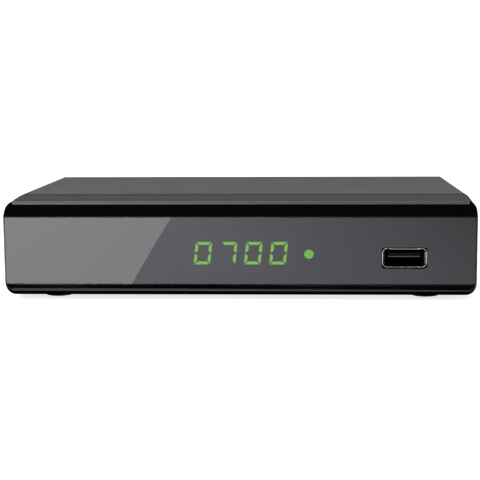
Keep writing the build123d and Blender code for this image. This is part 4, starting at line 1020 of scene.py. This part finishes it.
for node in nodes:
    if node.startswith("foot_"):
        buildFoot(node, footSet)
print("feet ready")

# aerial socket: a thread wound on its end, and a bevelled mouth round the insulator
threadSet = {"pitch": 25.4 / 32, "depth": 0.42, "flat": 0.15, "start": 3.3, "edge": 0.4, "neck": 4.5,
             "bore": 3.2, "mouth": 0.35, "segments": 96, "perTurn": 12, "sharp": 40}


def threadRule(settings, crestRadius, along, reach):
    # The radius round one ring of a right-handed thread.
    def radiusAt(share):
        phase = (along / settings["pitch"] - share) % 1
        climb = (min(phase, 1 - phase) * 2 - settings["flat"]) / (1 - 2 * settings["flat"])
        radius = crestRadius - settings["depth"] * min(1, max(0, climb))
        return min(radius, crestRadius - settings["edge"] + reach - along)
    return radiusAt


def buildAerialSocket(settings):
    low, high, middle = boxOf("lnb_socket")
    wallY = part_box("chassis")[1].y
    crestRadius = (high.x - low.x) / 2 / mm
    foot = (low.y - wallY) / mm
    reach = (high.y - wallY) / mm
    start = settings["start"]
    rows = round((reach - start) / settings["pitch"] * settings["perTurn"])
    stations = [(settings["neck"], foot), (settings["neck"], start)]
    for row in range(1, rows + 1):
        along = start + (reach - start) * row / rows
        stations.append((threadRule(settings, crestRadius, along, reach), along))
    stations += [(settings["bore"] + settings["mouth"], reach), (settings["bore"], reach - settings["mouth"]),
                 (settings["bore"], foot)]
    piece = spun("aerialSocket", stations, (middle.x, wallY, middle.z), (0, 1, 0), settings["segments"], True)
    smoothFaces(piece, settings["sharp"])
    settle(piece, slotOf["lnb_socket"], "housing", "lnb_socket")


buildAerialSocket(threadSet)
print("aerial thread wound")

# scart contacts: a folded leaf in each slot of the block
leafSet = {"count": 10, "pitch": 3.81, "shift": 0.95, "rise": 2.1, "width": 1.5, "thick": 0.12,
           "gap": 0.12, "flare": 0.3, "mouth": 0.27, "length": 2.4, "sink": 0.25, "flareRun": 0.5}


def extrudedLeaf(work, line, low, high, thick):
    # A thin strip that follows a line of (x, y) points, between two heights.
    points = [Vector(point) for point in line]
    outer = []
    for spot, before, after in zip(points, [points[0]] + points[:-1], points[1:] + [points[-1]]):
        along = (after - before).normalized()
        outer.append(spot + Vector((-along.y, along.x)) * thick)
    loop = points + outer[::-1]
    rings = [[work.verts.new((point.x, point.y, height)) for point in loop] for height in (low, high)]
    size = len(loop)
    joinRings(work, rings)
    for step in range(len(points) - 1):
        for ring in rings:
            work.faces.new([ring[step], ring[step + 1], ring[size - 2 - step], ring[size - 1 - step]])


def buildScartLeaves(settings):
    _, high, middle = boxOf("scart_block")
    faceY = high.y - settings["sink"] * mm
    endY = faceY - settings["length"] * mm
    bendY = faceY - settings["flareRun"] * mm
    half = settings["width"] / 2 * mm
    work = bmesh.new()
    for side in (-1, 1):
        rowZ = middle.z + side * settings["rise"] * mm
        for column in range(settings["count"]):
            slotX = middle.x + ((column - (settings["count"] - 1) / 2) * settings["pitch"]
                                - side * settings["shift"]) * mm
            for hand in (-1, 1):
                gap, flare, mouth = [settings[key] * mm * hand for key in ("gap", "flare", "mouth")]
                line = [(slotX + flare, endY), (slotX + gap, bendY), (slotX + mouth, faceY)]
                if hand < 0:
                    line.reverse()
                extrudedLeaf(work, line, rowZ - half, rowZ + half, -settings["thick"] * mm)
    settle(meshPiece("scartLeaves", work), "shell_nickel", "housing")


buildScartLeaves(leafSet)
print("scart contacts in")

# rocker marks: a bar where it is pressed to switch on, and a ring on the other half
markSet = {"tilt": -10, "half": 5.4, "ends": 3.0, "dip": 2.3, "out": 3.2, "reach": 1.1, "halfWidth": 0.16,
           "proud": 0.02, "steps": 40, "weld": 1e-7}


def buildRockerMarks(settings):
    pivot = Vector(frame["joints"][0]["pos_m"])
    lean = Matrix.Rotation(radians(settings["tilt"]), 4, "Z")
    place = Matrix.Translation(pivot) @ lean
    rise = settings["ends"] - settings["dip"]
    bend = (settings["half"] ** 2 + rise ** 2) / (2 * rise)

    def onFace(u, v, lift):
        w = settings["dip"] + bend - sqrt(bend ** 2 - u ** 2) + lift
        return place @ (Vector((u, w, v)) * mm)

    work = bmesh.new()
    steps, reach = settings["steps"], settings["reach"]
    bar = [((settings["out"], reach * (2 * step / steps - 1)), (1, 0)) for step in range(steps + 1)]
    ring = []
    for step in range(steps + 1):
        angle = 2 * pi * step / steps
        ring.append(((reach * cos(angle) - settings["out"], reach * sin(angle)), (cos(angle), sin(angle))))
    for line in (bar, ring):
        sections = []
        for (u, v), (acrossU, acrossV) in line:
            section = []
            for side, lift in ((-1, -1), (1, -1), (1, 1), (-1, 1)):
                shift = side * settings["halfWidth"]
                section.append(work.verts.new(onFace(u + acrossU * shift, v + acrossV * shift,
                                                     lift * settings["proud"])))
            sections.append(section)
        joinRings(work, sections, capped=line is bar)
    bmesh.ops.remove_doubles(work, verts=work.verts, dist=settings["weld"])
    settle(meshPiece("rockerMarks", work), "insulator_white", "rocker")


buildRockerMarks(markSet)
print("rocker marked")

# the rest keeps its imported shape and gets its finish
replaced = {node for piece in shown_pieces() for node in piece.get("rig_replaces", [])}
for node, part in nodes.items():
    if node not in replaced:
        part.data.materials.clear()
        part.data.materials.append(finishes[slotOf[node]])
print("parts dressed:", len(nodes) - len(replaced), "packed,", len(replaced), "replaced")
